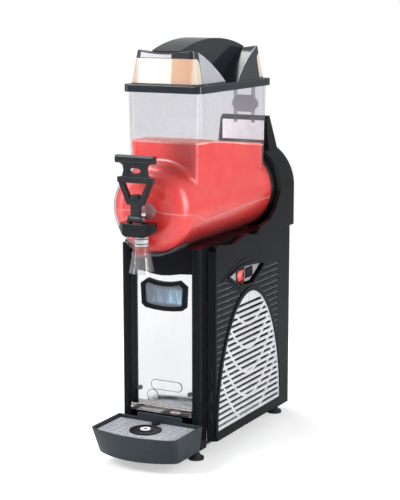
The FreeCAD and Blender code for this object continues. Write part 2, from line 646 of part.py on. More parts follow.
# ---------------------------------------------------------------- tap
def tap_collar():
    """Black cap on the tube with wings and two ears for the lever's pin."""
    wings = [(-34, 456), (34, 456), (39, 446), (30, 438), (19, 432), (-19, 432), (-30, 438), (-39, 446)]
    plan = [(-40, -78), (-24, -92), (24, -92), (40, -78), (24, -52), (-24, -52)]
    body = front_prism(wings, (-92, -56)).common(plan_prism(plan, (430, 460)))
    body = body.cut(rod(TUBE_R + 0.1, (0, TAP_Y, 430), (0, TAP_Y, TUBE_Z[1])))
    body = body.cut(rod(4.6, (0, TAP_Y, 440), (0, TAP_Y, 460)))
    ears = [box((x, x + 4), (PIN_Y - 6, PIN_Y + 6), (455, 470)) for x in (-15, 11)]
    ears = [e.makeFillet(5, edges_along(e, (1, 0, 0), lambda edge: edge.CenterOfMass.z > 469)) for e in ears]
    return fused([body] + ears).cut(rod(2.52, (-20, PIN_Y, PIN_Z), (20, PIN_Y, PIN_Z)))


def tap_pin():
    """Hinge pin with a head at each end, outside the collar's ears."""
    pin = rod(2.45, (-15.5, PIN_Y, PIN_Z), (15.5, PIN_Y, PIN_Z))
    heads = [rod(3.8, (s * 15.2, PIN_Y, PIN_Z), (s * 17, PIN_Y, PIN_Z)) for s in (-1, 1)]
    return fused([pin] + heads)


def tap_handle():
    """Pull lever in one moulding, from the grip bar down to the two prongs that lift the piston."""
    y = (PIN_Y - 4, PIN_Y + 4)
    neck = front_prism([(-36, 566), (-25, 561), (-23, 552), (-26, 541), (-35, 537),
                        (35, 537), (26, 541), (23, 552), (25, 561), (36, 566)], y)
    cross = box((-35.5, 35.5), (y[0] - 1, y[1] + 1), (530, 539))
    grip = box((-39, 39), (y[0] - 3, y[1] + 3), (564, HANDLE_TOP))
    grip = grip.makeFillet(4, edges_along(grip, (1, 0, 0)))
    legs = front_prism([(-35, 532), (35, 532), (17, 490), (-17, 490)], y)
    legs = legs.cut(front_prism([(-23.5, 529), (23.5, 529), (9.5, 499), (-9.5, 499)], (y[0] - 1, y[1] + 1)))
    knuckle = rod(11, (0, y[0], 497), (0, y[1], 497))
    knob = rod(7.5, (0, PIN_Y, 500), (0, PIN_Y, 509))
    knob = knob.makeFillet(3, [e for e in knob.Edges if e.CenterOfMass.z > 508])
    post = box((-9, 9), y, (PIN_Z, 496))
    hub = rod(6.3, (-10.6, PIN_Y, PIN_Z), (10.6, PIN_Y, PIN_Z))
    prongs = [box((x, x + 4), (PIN_Y, TAP_Y + 2), (PIN_Z - 3, PIN_Z + 3)) for x in (-9.5, 5.5)]
    body = fused([neck, cross, grip, legs, knuckle, knob, post, hub] + prongs)
    window = Part.Ellipse(V(0, 0, 0), 12.5, 5).toShape()
    window = Part.Face(Part.Wire(window)).extrude(V(0, 0, 30))
    window.rotate(V(0, 0, 0), V(1, 0, 0), 90)
    window.translate(V(0, PIN_Y + 15, 551))
    body = body.cut(window)
    return body.cut(rod(2.52, (-20, PIN_Y, PIN_Z), (20, PIN_Y, PIN_Z)))


def tap_piston():
    """Piston, rod and lifting head."""
    core = rod(TUBE_BORE - 0.25, (0, TAP_Y, PISTON_Z[0]), (0, TAP_Y, PISTON_Z[1]))
    for z in (416, 425):
        core = core.cut(ring(TUBE_BORE, TUBE_BORE - 2.4, (0, TAP_Y, z), (0, TAP_Y, z + 2.2)))
    stem = rod(4.2, (0, TAP_Y, PISTON_Z[1]), (0, TAP_Y, PIN_Z + 4))
    head = rod(7.4, (0, TAP_Y, PIN_Z + 3.4), (0, TAP_Y, PIN_Z + 7.4))
    head = head.makeFillet(1.2, [e for e in head.Edges if e.CenterOfMass.z > PIN_Z + 7])
    return fused([core, stem, head])


def piston_rings():
    rings = [Part.makeTorus(TUBE_BORE - 1.25, 1.05, V(0, TAP_Y, z + 1.1), V(0, 0, 1)) for z in (416, 425)]
    return Part.makeCompound(rings)


def tap_spring():
    """Return spring on the piston's rod, as a coil of 4 turns."""
    height = TUBE_Z[1] - PISTON_Z[1] - 3.2
    helix = Part.makeHelix(height / 4, height, 8.2)
    circle = Part.Wire(Part.makeCircle(0.7, V(8.2, 0, 0), V(0, 1, 0)))
    coil = Part.Wire(helix).makePipeShell([circle], True, True)
    coil.translate(V(0, TAP_Y, PISTON_Z[1] + 1.6))
    return coil


# ---------------------------------------------------------------- lid
def arc_outline(points, arcs):
    """A face in the plane x = 0: (y, z) points joined by lines, or by arcs through a middle point."""
    edges = []
    for index, start in enumerate(points):
        end = points[(index + 1) % len(points)]
        a, b = V(0, *start), V(0, *end)
        middle = arcs.get(index)
        edges.append(Part.Arc(a, V(0, *middle), b).toShape() if middle else Part.makeLine(a, b))
    return Part.Face(Part.Wire(edges))


def across(face, half):
    """A face in the plane x = 0, extruded evenly to both sides."""
    solid = face.extrude(V(2 * half, 0, 0))
    solid.translate(V(-half, 0, 0))
    return solid


def lid_end(front):
    """One end of the lid in side view: a leaning end wall, a level crown and an arc down to the rim."""
    y0, base = LID_Y[0], LID_Z + LID_RIM - 2
    points = [(y0 + 7, base), (y0 + 13, 755), (y0 + 16, 758), (y0 + 26, 757), (y0 + 126, base)]
    face = arc_outline(points, {3: (y0 + 71, 735.5)})
    return face if front else face.mirror(V(0, LID_MID, 0), V(0, 1, 0))


def lid_draft(depth):
    """Everything inside the lid's leaning side walls, drawn in by a depth."""
    foot, top = 70.5 - depth, 56.0 - depth
    return front_prism([(-foot, 690), (-top, 779), (top, 779), (foot, 690)], (-5, 320))


def lid_body_solid():
    """The lid above its rim: two ends and an arched spine between them."""
    ends = [across(lid_end(True), 75).common(lid_draft(0)), across(lid_end(False), 75).common(lid_draft(0))]
    for index, end in enumerate(ends):
        outer = LID_Y[0] + 10 if index == 0 else LID_Y[1] - 10
        corners = [e for e in end.Edges if abs(e.CenterOfMass.y - outer) < 4 and e.BoundBox.ZLength > 40]
        ends[index] = end.makeFillet(10, corners)
        dip = rod(CROWN_DIP_R, (0, -10, 753 + CROWN_DIP_R), (0, 320, 753 + CROWN_DIP_R))
        ends[index] = ends[index].cut(dip)
    low = LID_Z + LID_RIM - 2
    front, back = LID_Y[0] + 22, LID_Y[1] - 22
    spine = arc_outline([(front, low), (front, 757.5), (back, 757.5), (back, low)], {1: (LID_MID, LID_TOP)})
    return fused(ends + [across(spine, SPINE_HALF)])


def lens_zone(front):
    """The band of the lid that a lamp lens takes up, as a skin round the end."""
    y0, low = LID_Y[0], LID_Z + LID_RIM + 2
    points = [(-5, low), (y0 + 30, low), (y0 + 30, 731), (y0 + 18, LENS_TOP), (-5, LENS_TOP)]
    zone = across(arc_outline(points, {2: (y0 + 27, 740)}), 90)
    zone = zone.cut(box((-58, 58), (y0 + 15, 80), (600, 800)))
    return zone if front else zone.mirror(V(0, LID_MID, 0), V(0, 1, 0))


def lid_trims():
    """Pale crescent plates let into both sides of the lid's front end."""
    flank = box((-80, 80), (LID_Y[0] + 31.5, 200), (LID_Z + LID_RIM + 2, 800))
    zone = across(lid_end(True), 75).common(flank)
    skin = lid_body_solid().common(zone).cut(lid_draft(2.5))
    return skin.cut(box((-50, 50), (0, 300), (680, 800)))


def lid_shell():
    """Rim and body of the lid, hollowed over the hopper and in the two lamp boxes."""
    rim = Part.Face(rounded_rectangle(LID_HALF, LID_Y, LID_Z, 12)).extrude(V(0, 0, LID_RIM))
    rim = rim.makeFillet(2, [e for e in rim.Edges if abs(e.CenterOfMass.z - LID_Z - LID_RIM) < 0.1])
    body = fused([rim, lid_body_solid()])
    seat_y = (HOPPER_TOP_Y[0] - CLEAR, HOPPER_TOP_Y[1] + CLEAR)
    seat = rounded_rectangle(HOPPER_TOP_HALF + 2 * CLEAR, seat_y, LID_Z - 1, HOPPER_CORNER - 3)
    seat = Part.Face(seat).extrude(V(0, 0, 6))
    body = body.cut(seat).cut(lens_zone(True)).cut(lens_zone(False)).cut(lid_trims())
    lamp_box = box((-55, 55), (LID_Y[0] + 14.9, LID_Y[0] + 44), (LID_Z - 1, LENS_TOP - 0.5))
    bump = [(LID_Y[0] + 44, 681), (LID_Y[0] + 44, 742), (LID_Y[0] + 68, 732), (LID_Y[0] + 112, 696),
            (LID_Y[0] + 112, 681)]
    bump = side_prism(bump, (-55, 55))
    for hollow in (lamp_box, bump):
        body = body.cut(hollow).cut(hollow.mirror(V(0, LID_MID, 0), V(0, 1, 0)))
    return body.cut(box((-26, 26), (LID_Y[0] + 40, LID_Y[1] - 40), (LID_Z - 1, 757)))


def lid_lens(front):
    """Translucent wrap-round lens of one lamp box."""
    return lid_body_solid().common(lens_zone(front))


def lid_lamp(y):
    """LED batten in a lamp box."""
    channel = box((-48, 48), (y - 4, y + 4), (718, 722))
    leds = [box((x, x + 5), (y - 2.5, y + 2.5), (716.5, 718)) for x in range(-42, 42, 12)]
    clips = [box((x, x + 6), (y - 5, y + 5), (722, LENS_TOP - 0.6)) for x in (-40, 34)]
    return fused([channel] + leds + clips)


# ---------------------------------------------------------------- drip tray
def tray_outline(half, y_back, y_corner, y_front, z):
    """Level outline with a bowed front."""
    return Part.Wire([
        Part.makeLine(V(half, y_back, z), V(-half, y_back, z)),
        Part.makeLine(V(-half, y_back, z), V(-half, y_corner, z)),
        Part.Arc(V(-half, y_corner, z), V(0, y_front, z), V(half, y_corner, z)).toShape(),
        Part.makeLine(V(half, y_corner, z), V(half, y_back, z)),
    ])


def tray_solid(shrink, bottom, top):
    """The tray as a solid that widens upwards, shrunk by a wall."""
    s = shrink
    low = tray_outline(84 - s, -1.2 - s, -84 + s, -112 + s, bottom)
    high = tray_outline(90 - s, -1.2 - s, -104 + s, -TRAY_REACH + s, top)
    body = Part.makeLoft([low, high], True, True)
    upright = [e for e in body.Edges if abs(e.Vertexes[-1].Point.z - e.Vertexes[0].Point.z) > 20
               and e.CenterOfMass.y < -50]
    return body.makeFillet(14 - s, upright)


def drip_tray():
    """Deep tray with a ledge for the grid, an upstand at the back and two hooks into the kick panel."""
    body = tray_solid(0, TRAY_BOTTOM, TRAY_TOP)
    body = body.cut(tray_solid(TRAY_WALL, TRAY_BOTTOM + TRAY_WALL, TRAY_TOP + 0.01))
    ledge = tray_solid(TRAY_WALL - 0.5, TRAY_BOTTOM + TRAY_WALL, TRAY_TOP)
    ledge = ledge.cut(tray_solid(TRAY_WALL + 4, TRAY_BOTTOM + 1, TRAY_TOP + 1))
    ledge = ledge.common(box((-100, 100), (-140, 0), (56, GRID_Z[0])))
    hooks = [box((x, x + 12), (-2, 12), (50, 58)) for x in (-52, 40)]
    upstand = box((-48, 48), (-4.2, -1.2), (TRAY_TOP - 6, TRAY_TOP + 9))
    upstand = upstand.makeFillet(2, edges_along(upstand, (0, 1, 0), lambda e: e.CenterOfMass.z > TRAY_TOP))
    return fused([body, ledge, upstand] + hooks)


def drip_grid():
    """Pale slotted grid with a seat for the disc."""
    body = tray_solid(TRAY_WALL + 1.2, TRAY_BOTTOM, TRAY_TOP).common(box((-100, 100), (-140, 0), GRID_Z))
    slots = []
    for row in range(9):
        y = -14 - 11.5 * row
        for col in range(-4, 5):
            x = 17.5 * col
            slots.append(box((x - 6.5, x + 6.5), (y - 2, y + 2), (GRID_Z[0] - 1, GRID_Z[1] + 1)))
    slotted = tray_solid(TRAY_WALL + 7, TRAY_BOTTOM, TRAY_TOP)
    slotted = slotted.cut(rod(DISC_R + 4, (0, DISC_Y, 50), (0, DISC_Y, 70)))
    body = body.cut(fused(slots).common(slotted))
    return body.cut(rod(8, (0, DISC_Y, 50), (0, DISC_Y, 70)))


def drip_disc():
    """Black cup marker snapped into the grid, and a small cap behind it."""
    top = GRID_Z[1]
    disc = rod(DISC_R, (0, DISC_Y, top), (0, DISC_Y, top + 2.5))
    disc = disc.makeFillet(1, [e for e in disc.Edges if e.CenterOfMass.z > top + 2])
    disc = disc.cut(ring(DISC_R - 6, 14, (0, DISC_Y, top + 1.5), (0, DISC_Y, top + 4)))
    stub = rod(7.8, (0, DISC_Y, GRID_Z[0] - 3), (0, DISC_Y, top + 0.5))
    disc = fused([disc, stub]).cut(rod(5, (0, DISC_Y, 50), (0, DISC_Y, 80)))
    cap = rod(8, (-2, -14.5, top), (-2, -14.5, top + 4))
    cap = cap.makeFillet(1.5, [e for e in cap.Edges if e.CenterOfMass.z > top + 3])
    return Part.makeCompound([disc, cap])


def overflow_float():
    """Float that lifts its pale button out of the disc when the tray is full."""
    button = ring(9.5, 4.5, (0, DISC_Y, GRID_Z[1] + 2.6), (0, DISC_Y, GRID_Z[1] + 4.3))
    stem = rod(4.7, (0, DISC_Y, 44), (0, DISC_Y, GRID_Z[1] + 3))
    body = rod(14, (0, DISC_Y, 33), (0, DISC_Y, 47))
    body = body.makeFillet(3, [e for e in body.Edges if e.BoundBox.ZLength < 0.1])
    return fused([button, stem, body])


# ---------------------------------------------------------------- refrigeration
def compressor():
    """Domed pot with a welded seam on a plate with four legs."""
    x, y = POT_X, POT_Y
    pot = rod(POT_R, (x, y, 62), (x, y, 138))
    for z in (78, 138):
        pot = pot.fuse(Part.makeSphere(POT_R, V(x, y, z)))
    pot = pot.common(box((x - 60, x + 60), (y - 60, y + 60), (42, POT_TOP)))
    seam = ring(POT_R + 3, POT_R - 2, (x, y, 106), (x, y, 110))
    plate = box((x - 42, x + 42), (y - 42, y + 42), (46, 50))
    legs = [rod(6, (x + dx, y + dy, 25.6), (x + dx, y + dy, 52)) for dx in (-36, 36) for dy in (-36, 36)]
    return fused([pot, seam, plate] + legs)


def condenser():
    """Fin block with copper hairpins."""
    fins = [box((52, 74), (y, y + 1.2), (64, 262)) for y in range(66, 236, 6)]
    ends = [box((50, 76), (y, y + 2), (44.3, 264)) for y in (62, 238)]
    tubes = [rod(4, (63, 60, z), (63, 242, z)) for z in range(76, 262, 22)]
    return fused(fins + ends + tubes)


def fan_blades():
    """Five pitched blades on a hub."""
    hub = rod(16, (30, FAN_Y, FAN_Z), (42, FAN_Y, FAN_Z))
    blades = []
    for k in range(5):
        blade = Part.makeBox(2, 52, 34, V(-1, 12, -17))
        blade.rotate(V(0, 0, 0), V(0, 1, 0), 28)
        blade.rotate(V(0, 0, 0), V(1, 0, 0), 72 * k)
        blade.translate(V(36, FAN_Y, FAN_Z))
        blades.append(blade)
    return fused([hub] + blades).cut(rod(3.06, (20, FAN_Y, FAN_Z), (40, FAN_Y, FAN_Z)))


def fan_motor():
    """Motor can on a crossbar with two stays to the shroud."""
    can = rod(24, (-14, FAN_Y, FAN_Z), (24, FAN_Y, FAN_Z))
    shaft = rod(3, (24, FAN_Y, FAN_Z), (39, FAN_Y, FAN_Z))
    bracket = box((-12, -9), (FAN_Y - 80, FAN_Y + 80), (FAN_Z - 9, FAN_Z + 9))
    stays = [box((-12, 43.8), (y, y + 3), (FAN_Z - 9, FAN_Z + 9)) for y in (FAN_Y - 80, FAN_Y + 77)]
    return fused([can, shaft, bracket] + stays)


def fan_shroud():
    """Upright sheet between the fan and the condenser, with a round opening."""
    sheet = box((44, 48), (66, 238), (25.7, 262))
    return sheet.cut(rod(72, (40, FAN_Y, FAN_Z), (50, FAN_Y, FAN_Z)))


def filter_drier():
    """Upright copper cartridge with tapered ends."""
    can = rod(9, (40, 262, 190), (40, 262, 260))
    return fused([can, Part.makeCone(9, 4, 8, V(40, 262, 260)), Part.makeCone(4, 9, 8, V(40, 262, 182))])


def refrigerant_lines():
    """Copper lines: hot gas, liquid, feed to the evaporator and suction back to the pot."""
    hot = pipe([(POT_X, POT_Y, POT_TOP + 0.3), (POT_X, POT_Y, 200), (50, POT_Y, 200), (63, 248, 252),
                (63, 242.2, 252)], 3)
    liquid = pipe([(63, 242.2, 76), (63, 256, 76), (40, 262, 100), (40, 262, 181.8)], 3)
    feed = pipe([(40, 262, 268.2), (40, 262, 330), (30, 332, 370), (30, 332, 420)], 2.5)
    suction = pipe([(-30, 332, 420), (-30, 332, 340), (-50, 260, 200), (POT_X - 50.5, POT_Y, 150),
                    (POT_X - 50.5, POT_Y, 120)], 4)
    return Part.makeCompound([hot, liquid, feed, suction])


# ---------------------------------------------------------------- build
def main():
    os.makedirs("parts", exist_ok=True)
    right_cover, right_blades, right_grille = side_cover(), louvre_blades(), grille()
    parts = {
        "base_pan": base_pan(),
        "front_column_right": front_column(),
        "front_column_left": mirrored(front_column()),
        "rear_column_right": rear_column(),
        "rear_column_left": mirrored(rear_column()),
        "feet": Part.makeCompound([foot(x, y) for x in (-FOOT_X, FOOT_X) for y in FOOT_Y]),
        "front_panel": front_panel(),
        "kick_panel": kick_panel(),
        "panel_screws": Part.makeCompound([screw_head((x, PANEL_Y, 122), (0, -1, 0)) for x in (-54, 54)]),
        "display_bezel": display_bezel(),
        "display_lens": display_lens(),
        "control_board": control_board(),
        "top_deck": deck(),
        "drip_gutter": drip_gutter(),
        "side_cover_right": right_cover,
        "side_cover_left": mirrored(right_cover),
        "louvres": Part.makeCompound(right_blades.Solids + mirrored(right_blades).Solids),
        "grille_right": right_grille,
        "grille_left": mirrored(right_grille),
        "switch_plate": switch_plate(),
        "blanking_plate": mirrored(side_prism(leaf_outline(-3.3), (COVER_FACE - 8, COVER_FACE - 6))),
        "switch_housings": Part.makeCompound([switch_housing(*POWER_SWITCH), switch_housing(*MODE_SWITCH)]),
        "power_rocker": rocker(*POWER_SWITCH),
        "mode_rocker": rocker(*MODE_SWITCH),
        "back_panel": back_panel(),
        "power_cord": power_cord(),
        "rear_tower": tower(),
        "contact_plate": contact_plate(),
        "bowl_gasket": bowl_gasket(),
        "evaporator": evaporator(),
        "evaporator_coil": evaporator_coil(),
        "shaft_seal": shaft_seal(),
        "drive_shaft": drive_shaft(),
        "auger": auger(),
        "gearmotor": gearmotor(),
        "motor_plate": motor_plate(),
        "bowl": bowl(),
        "spout_skirt": spout_skirt(),
        "slush_fill": slush(),
        "tap_collar": tap_collar(),
        "tap_pin": tap_pin(),
        "tap_handle": tap_handle(),
        "tap_piston": tap_piston(),
        "piston_rings": piston_rings(),
        "tap_spring": tap_spring(),
        "lid_shell": lid_shell(),
        "lid_trims": lid_trims(),
        "lid_lenses": Part.makeCompound([lid_lens(True), lid_lens(False)]),
        "lid_lamps": Part.makeCompound([lid_lamp(LID_Y[0] + 31), lid_lamp(LID_Y[1] - 31)]),
        "drip_tray": drip_tray(),
        "drip_grid": drip_grid(),
        "drip_disc": drip_disc(),
        "overflow_float": overflow_float(),
        "compressor": compressor(),
        "condenser": condenser(),
        "fan_shroud": fan_shroud(),
        "fan_motor": fan_motor(),
        "fan_blades": fan_blades(),
        "filter_drier": filter_drier(),
        "refrigerant_lines": refrigerant_lines(),
    }
    for name, shape in parts.items():
        save(name, shape)


main()
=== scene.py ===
"""The looks of a counter-top slush machine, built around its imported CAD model.

Metres, +Z up, -Y to the front.
"""
import json
import math

import bmesh
import bpy
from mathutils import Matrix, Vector, noise


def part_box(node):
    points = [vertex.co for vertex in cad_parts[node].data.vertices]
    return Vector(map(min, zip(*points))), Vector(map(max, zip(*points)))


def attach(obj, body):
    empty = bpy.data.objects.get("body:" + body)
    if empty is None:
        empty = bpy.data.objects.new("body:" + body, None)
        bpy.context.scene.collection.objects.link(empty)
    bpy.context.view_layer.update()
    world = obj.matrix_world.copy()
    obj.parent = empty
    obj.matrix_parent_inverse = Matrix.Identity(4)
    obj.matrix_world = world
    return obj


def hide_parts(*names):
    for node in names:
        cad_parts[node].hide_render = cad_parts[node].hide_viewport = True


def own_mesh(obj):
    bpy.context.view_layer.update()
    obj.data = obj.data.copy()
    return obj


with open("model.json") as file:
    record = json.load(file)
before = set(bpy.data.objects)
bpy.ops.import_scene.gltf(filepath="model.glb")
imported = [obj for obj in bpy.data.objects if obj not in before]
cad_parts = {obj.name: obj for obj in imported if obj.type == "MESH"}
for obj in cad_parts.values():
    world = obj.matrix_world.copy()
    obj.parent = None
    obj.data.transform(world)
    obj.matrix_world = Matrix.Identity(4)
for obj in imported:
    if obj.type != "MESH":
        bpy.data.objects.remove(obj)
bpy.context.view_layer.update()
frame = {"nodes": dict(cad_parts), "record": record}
MM = 0.001
WHITE = (1, 1, 1)

# ---------------------------------------------------------------- places taken from the frame
SLUSH_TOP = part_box("slush_fill")[1][2]
SHAFT_LOW, SHAFT_HIGH = (Vector(corner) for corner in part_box("drive_shaft"))
DISPLAY_LOW, DISPLAY_HIGH = (Vector(corner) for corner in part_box("display_lens"))
AXIS_Z = (SHAFT_LOW.z + SHAFT_HIGH.z) / 2
TAP_LOW, TAP_HIGH = (Vector(corner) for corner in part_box("tap_handle"))
TAP_X = (TAP_LOW.x + TAP_HIGH.x) / 2
LID_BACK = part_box("lid_shell")[1][1]
FRONT_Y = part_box("front_column_right")[0][1]        # front plane of the columns
HOPPER_BACK = FRONT_Y + 299 * MM                    # outside of the hopper's rear wall
PANEL_FACE = FRONT_Y + 17 * MM                      # polished face behind the display's surround
DRUM_R = 82 * MM
DRUM_FRONT = FRONT_Y - 50 * MM
DRUM_ROUND = 34 * MM                                # rounding between the drum's side and its front
TUBE_Y = FRONT_Y - 65 * MM                          # axis of the tap's tube
KNOB_Y = FRONT_Y - 84 * MM                          # axis of the tap lever's knob
RAIL_TOP = 0.0965                                   # height where the front panel turns into its rail


# ---------------------------------------------------------------- node trees
class Look:
    """A material and short ways to add nodes to it."""

    def __init__(self, name):
        self.mat = bpy.data.materials.new(name)
        self.mat.use_nodes = True
        self.nodes = self.mat.node_tree.nodes
        self.links = self.mat.node_tree.links
        self.bsdf = self.nodes["Principled BSDF"]
        self.out = self.nodes["Material Output"]
        self.coords = self.add("TexCoord").outputs["Object"]

    def add(self, kind, inputs=None, **settings):
        node = self.nodes.new("ShaderNode" + kind)
        for key, value in settings.items():
            setattr(node, key, value)
        for key, value in (inputs or {}).items():
            self.feed(node.inputs[key], value)
        return node

    def feed(self, socket, value):
        if isinstance(value, bpy.types.NodeSocket):
            self.links.new(value, socket)
        else:
            socket.default_value = value

    def surface(self, **inputs):
        """Sets the Principled inputs; an underscore in a name stands for a space."""
        for key, value in inputs.items():
            socket = self.bsdf.inputs[key.replace("_", " ")]
            if socket.type == "RGBA" and isinstance(value, tuple):
                value = (*value, 1)
            self.feed(socket, value)
        return self

    def stretched(self, scale):
        return self.add("Mapping", {"Vector": self.coords, "Scale": scale}).outputs["Vector"]

    def noise(self, scale, detail=3.0, rough=0.5, vector=None, distortion=0.0):
        node = self.add("TexNoise", {"Vector": vector or self.coords, "Scale": scale, "Detail": detail,
                                     "Roughness": rough, "Distortion": distortion})
        return node.outputs["Fac"]

    def cells(self, scale, feature="F1", output="Distance", vector=None):
        return self.add("TexVoronoi", {"Vector": vector or self.coords, "Scale": scale},
                        feature=feature).outputs[output]

    def ramp(self, factor, *stops):
        """Colour ramp from (position, colour) stops; a number stands for a grey."""
        node = self.add("ValToRGB", {"Fac": factor})
        elements = node.color_ramp.elements
        while len(elements) < len(stops):
            elements.new(0.5)
        for element, (position, colour) in zip(elements, stops):
            element.position = position
            grey = isinstance(colour, (int, float))
            element.color = (colour, colour, colour, 1) if grey else (*colour, 1)
        return node.outputs["Color"]

    def mix(self, factor, a, b):
        node = self.add("Mix", data_type="RGBA")
        for socket, value in ((node.inputs[0], factor), (node.inputs[6], a), (node.inputs[7], b)):
            self.feed(socket, (*value, 1) if isinstance(value, tuple) else value)
        return node.outputs[2]

    def math(self, operation, a, b=0.0):
        node = self.add("Math", operation=operation)
        self.feed(node.inputs[0], a)
        self.feed(node.inputs[1], b)
        return node.outputs[0]

    def span(self, value, low, high, to_low=0.0, to_high=1.0):
        """Maps a value's range to another, clamped."""
        node = self.add("MapRange", {"Value": value, "From Min": low, "From Max": high, "To Min": to_low,
                                     "To Max": to_high})
        return node.outputs[0]

    def axis(self, name):
        """One coordinate of the shaded point, in metres in the frame."""
        return self.add("SeparateXYZ", {"Vector": self.coords}).outputs[name]

    def bump(self, height, strength, distance=0.0002, normal=None):
        inputs = {"Height": height, "Strength": strength, "Distance": distance}
        if normal is not None:
            inputs["Normal"] = normal
        return self.add("Bump", inputs).outputs["Normal"]

    def rounded(self, radius):
        """A normal that shades sharp edges as if they were rounded."""
        return self.add("Bevel", {"Radius": radius}, samples=4).outputs["Normal"]

    def edges(self, radius, low=0.02, high=0.35):
        """A mask that is 1 on sharp edges."""
        bevelled = self.add("Bevel", {"Radius": radius}, samples=4).outputs["Normal"]
        flat = self.add("NewGeometry").outputs["Normal"]
        dot = self.add("VectorMath", operation="DOT_PRODUCT")
        self.feed(dot.inputs[0], bevelled)
        self.feed(dot.inputs[1], flat)
        return self.span(self.math("SUBTRACT", 1.0, dot.outputs["Value"]), low, high)


def scaled(colour, factor, plus=0.0):
    """A colour made lighter or darker, each channel at most 1."""
    return tuple(min(channel * factor + plus, 1) for channel in colour)


def moulded(name, colour, roughness=0.3, specular=0.4, grain=0.12, wear_and_sheen=0.15, glow=0.0, edge=0.6 * MM):
    """Injection-moulded plastic: fine grain, faint flow marks, handling marks and paler edges, partly rubbed
    wear and partly a painted highlight; a glow, when given, is painted light on a part that is no lamp.
    """
    look = Look(name)
    flow = look.noise(9, 4, 0.6, look.stretched((1, 1, 0.35)))
    shade = look.mix(look.span(flow, 0.3, 0.7), colour, scaled(colour, 1.35, 0.002))
    # paler edges: rubbed wear, turned up on the drip tray's rim as a painted highlight
    rubbed_and_lit_edges = look.math("MULTIPLY", look.edges(edge), look.span(look.noise(140, 3), 0.42, 0.62))
    shade = look.mix(look.math("MULTIPLY", rubbed_and_lit_edges, wear_and_sheen), shade, scaled(colour, 2.5, 0.05))
    smudges = look.span(look.noise(28, 5, 0.65), 0.35, 0.7, roughness * 0.8, roughness * 1.35)
    bump = look.bump(look.noise(2600, 2), grain, 0.00006, look.rounded(edge))
    look.surface(Base_Color=shade, Roughness=smudges, Normal=bump, Specular_IOR_Level=specular,
                 Emission_Color=shade, Emission_Strength=glow)
    return look.mat


def polished_sheet(name, colour, roughness=0.05, rail_reflections=False):
    """Mirror-polished stainless: faint lines, wiped smudges and, if asked, painted reflections as light and
    dark bands on the rail at its foot.
    """
    look = Look(name)
    lines = look.noise(1, 2, 0.6, look.stretched((2600, 2600, 22)))
    smear = look.noise(17, 5, 0.6, look.stretched((1, 1, 0.5)))
    tint = look.mix(look.span(smear, 0.3, 0.75), colour, scaled(colour, 0.93))
    if rail_reflections:
        # painted reflections: light and dark bands across the rail below RAIL_TOP
        z = look.axis("Z")
        bands = look.ramp(look.span(z, RAIL_TOP - 15.5 * MM, RAIL_TOP),
                          (0.0, (0.62, 0.63, 0.66)), (0.30, (0.45, 0.43, 0.42)), (0.42, (0.86, 0.85, 0.84)),
                          (0.60, (0.20, 0.155, 0.14)), (0.80, (0.30, 0.25, 0.23)), (0.95, (0.55, 0.54, 0.55)))
        tint = look.mix(look.span(z, RAIL_TOP - 0.3 * MM, RAIL_TOP + 1 * MM, 1.0, 0.0), tint, bands)
    look.surface(Base_Color=tint, Metallic=1.0,
                 Roughness=look.span(smear, 0.35, 0.75, roughness, roughness * 2.6),
                 Normal=look.bump(lines, 0.05, 0.00003, look.rounded(0.5 * MM)))
    return look.mat


def brushed(name, colour, stretch=(40, 1800, 1800), roughness=0.28):
    """Metal with brushing or turning marks."""
    look = Look(name)
    lines = look.noise(1, 3, 0.7, look.stretched(stretch))
    tint = look.mix(look.span(lines, 0.3, 0.7), colour, scaled(colour, 0.8))
    look.surface(Base_Color=tint, Metallic=1.0,
                 Roughness=look.span(lines, 0.3, 0.7, roughness * 0.8, roughness * 1.4),
                 Normal=look.bump(lines, 0.12, 0.00004, look.rounded(0.4 * MM)))
    return look.mat


def galvanised(name):
    """Zinc-plated sheet with a faint spangle."""
    look = Look(name)
    spangle = look.cells(90, output="Color")
    grey = look.add("RGBToBW", {"Color": spangle}).outputs[0]
    zinc = look.ramp(grey, (0.2, (0.42, 0.43, 0.45)), (0.8, (0.58, 0.59, 0.6)))
    look.surface(Base_Color=zinc, Metallic=0.85, Roughness=look.span(grey, 0.2, 0.8, 0.32, 0.5),
                 Normal=look.rounded(0.4 * MM))
    return look.mat


def clear_plastic(name, tint=(0.92, 0.92, 0.935), rim=(0.50, 0.51, 0.56), gloss=0.05, shine=0.7,
                  haze=0.02):
    """Clear polycarbonate as thin layers: tinted where seen edge-on, a little hazy and faintly scratched."""
    look = Look(name)
    scratches = look.noise(1, 4, 0.7, look.stretched((60, 900, 60)))
    bump = look.bump(look.noise(38, 3), 0.05, 0.0006)
    facing = look.add("LayerWeight", {"Blend": 0.5}).outputs["Facing"]
    colour = look.mix(look.ramp(facing, (0.55, 0.0), (0.97, 1.0)), tint, rim)
    clear = look.add("BsdfTransparent", {"Color": colour}).outputs[0]
    scuffed = look.span(scratches, 0.45, 0.7, gloss, gloss * 2.4)
    mirror = look.add("BsdfGlossy", {"Color": (*WHITE, 1), "Normal": bump, "Roughness": scuffed}).outputs[0]
    grazing = look.math("POWER", facing, 5.0)
    share = look.math("ADD", look.math("MULTIPLY", grazing, shine), 0.04)
    both = look.add("MixShader", {0: share, 1: clear, 2: mirror}).outputs[0]
    cloud = look.add("BsdfDiffuse", {"Color": (0.9, 0.9, 0.92, 1)}).outputs[0]
    veil = look.span(look.noise(14, 4, 0.6), 0.3, 0.75, haze * 0.5, haze * 1.8)
    whole = look.add("MixShader", {0: veil, 1: both, 2: cloud}).outputs[0]
    look.links.new(whole, look.out.inputs["Surface"])
    look.nodes.remove(look.bsdf)
    return look.mat


def hopper_shade(look):
    """Where the hopper's front wall turns away from the light: its right part, above the drum."""
    right = look.span(look.axis("X"), -0.012, 0.034)
    front = look.span(look.axis("Y"), FRONT_Y + 14 * MM, FRONT_Y + 24 * MM, 1.0, 0.0)
    above = look.span(look.axis("Z"), AXIS_Z + 40 * MM, AXIS_Z + 70 * MM)
    return look.math("MULTIPLY", look.math("MULTIPLY", right, front), look.math("MULTIPLY", above, 0.85))


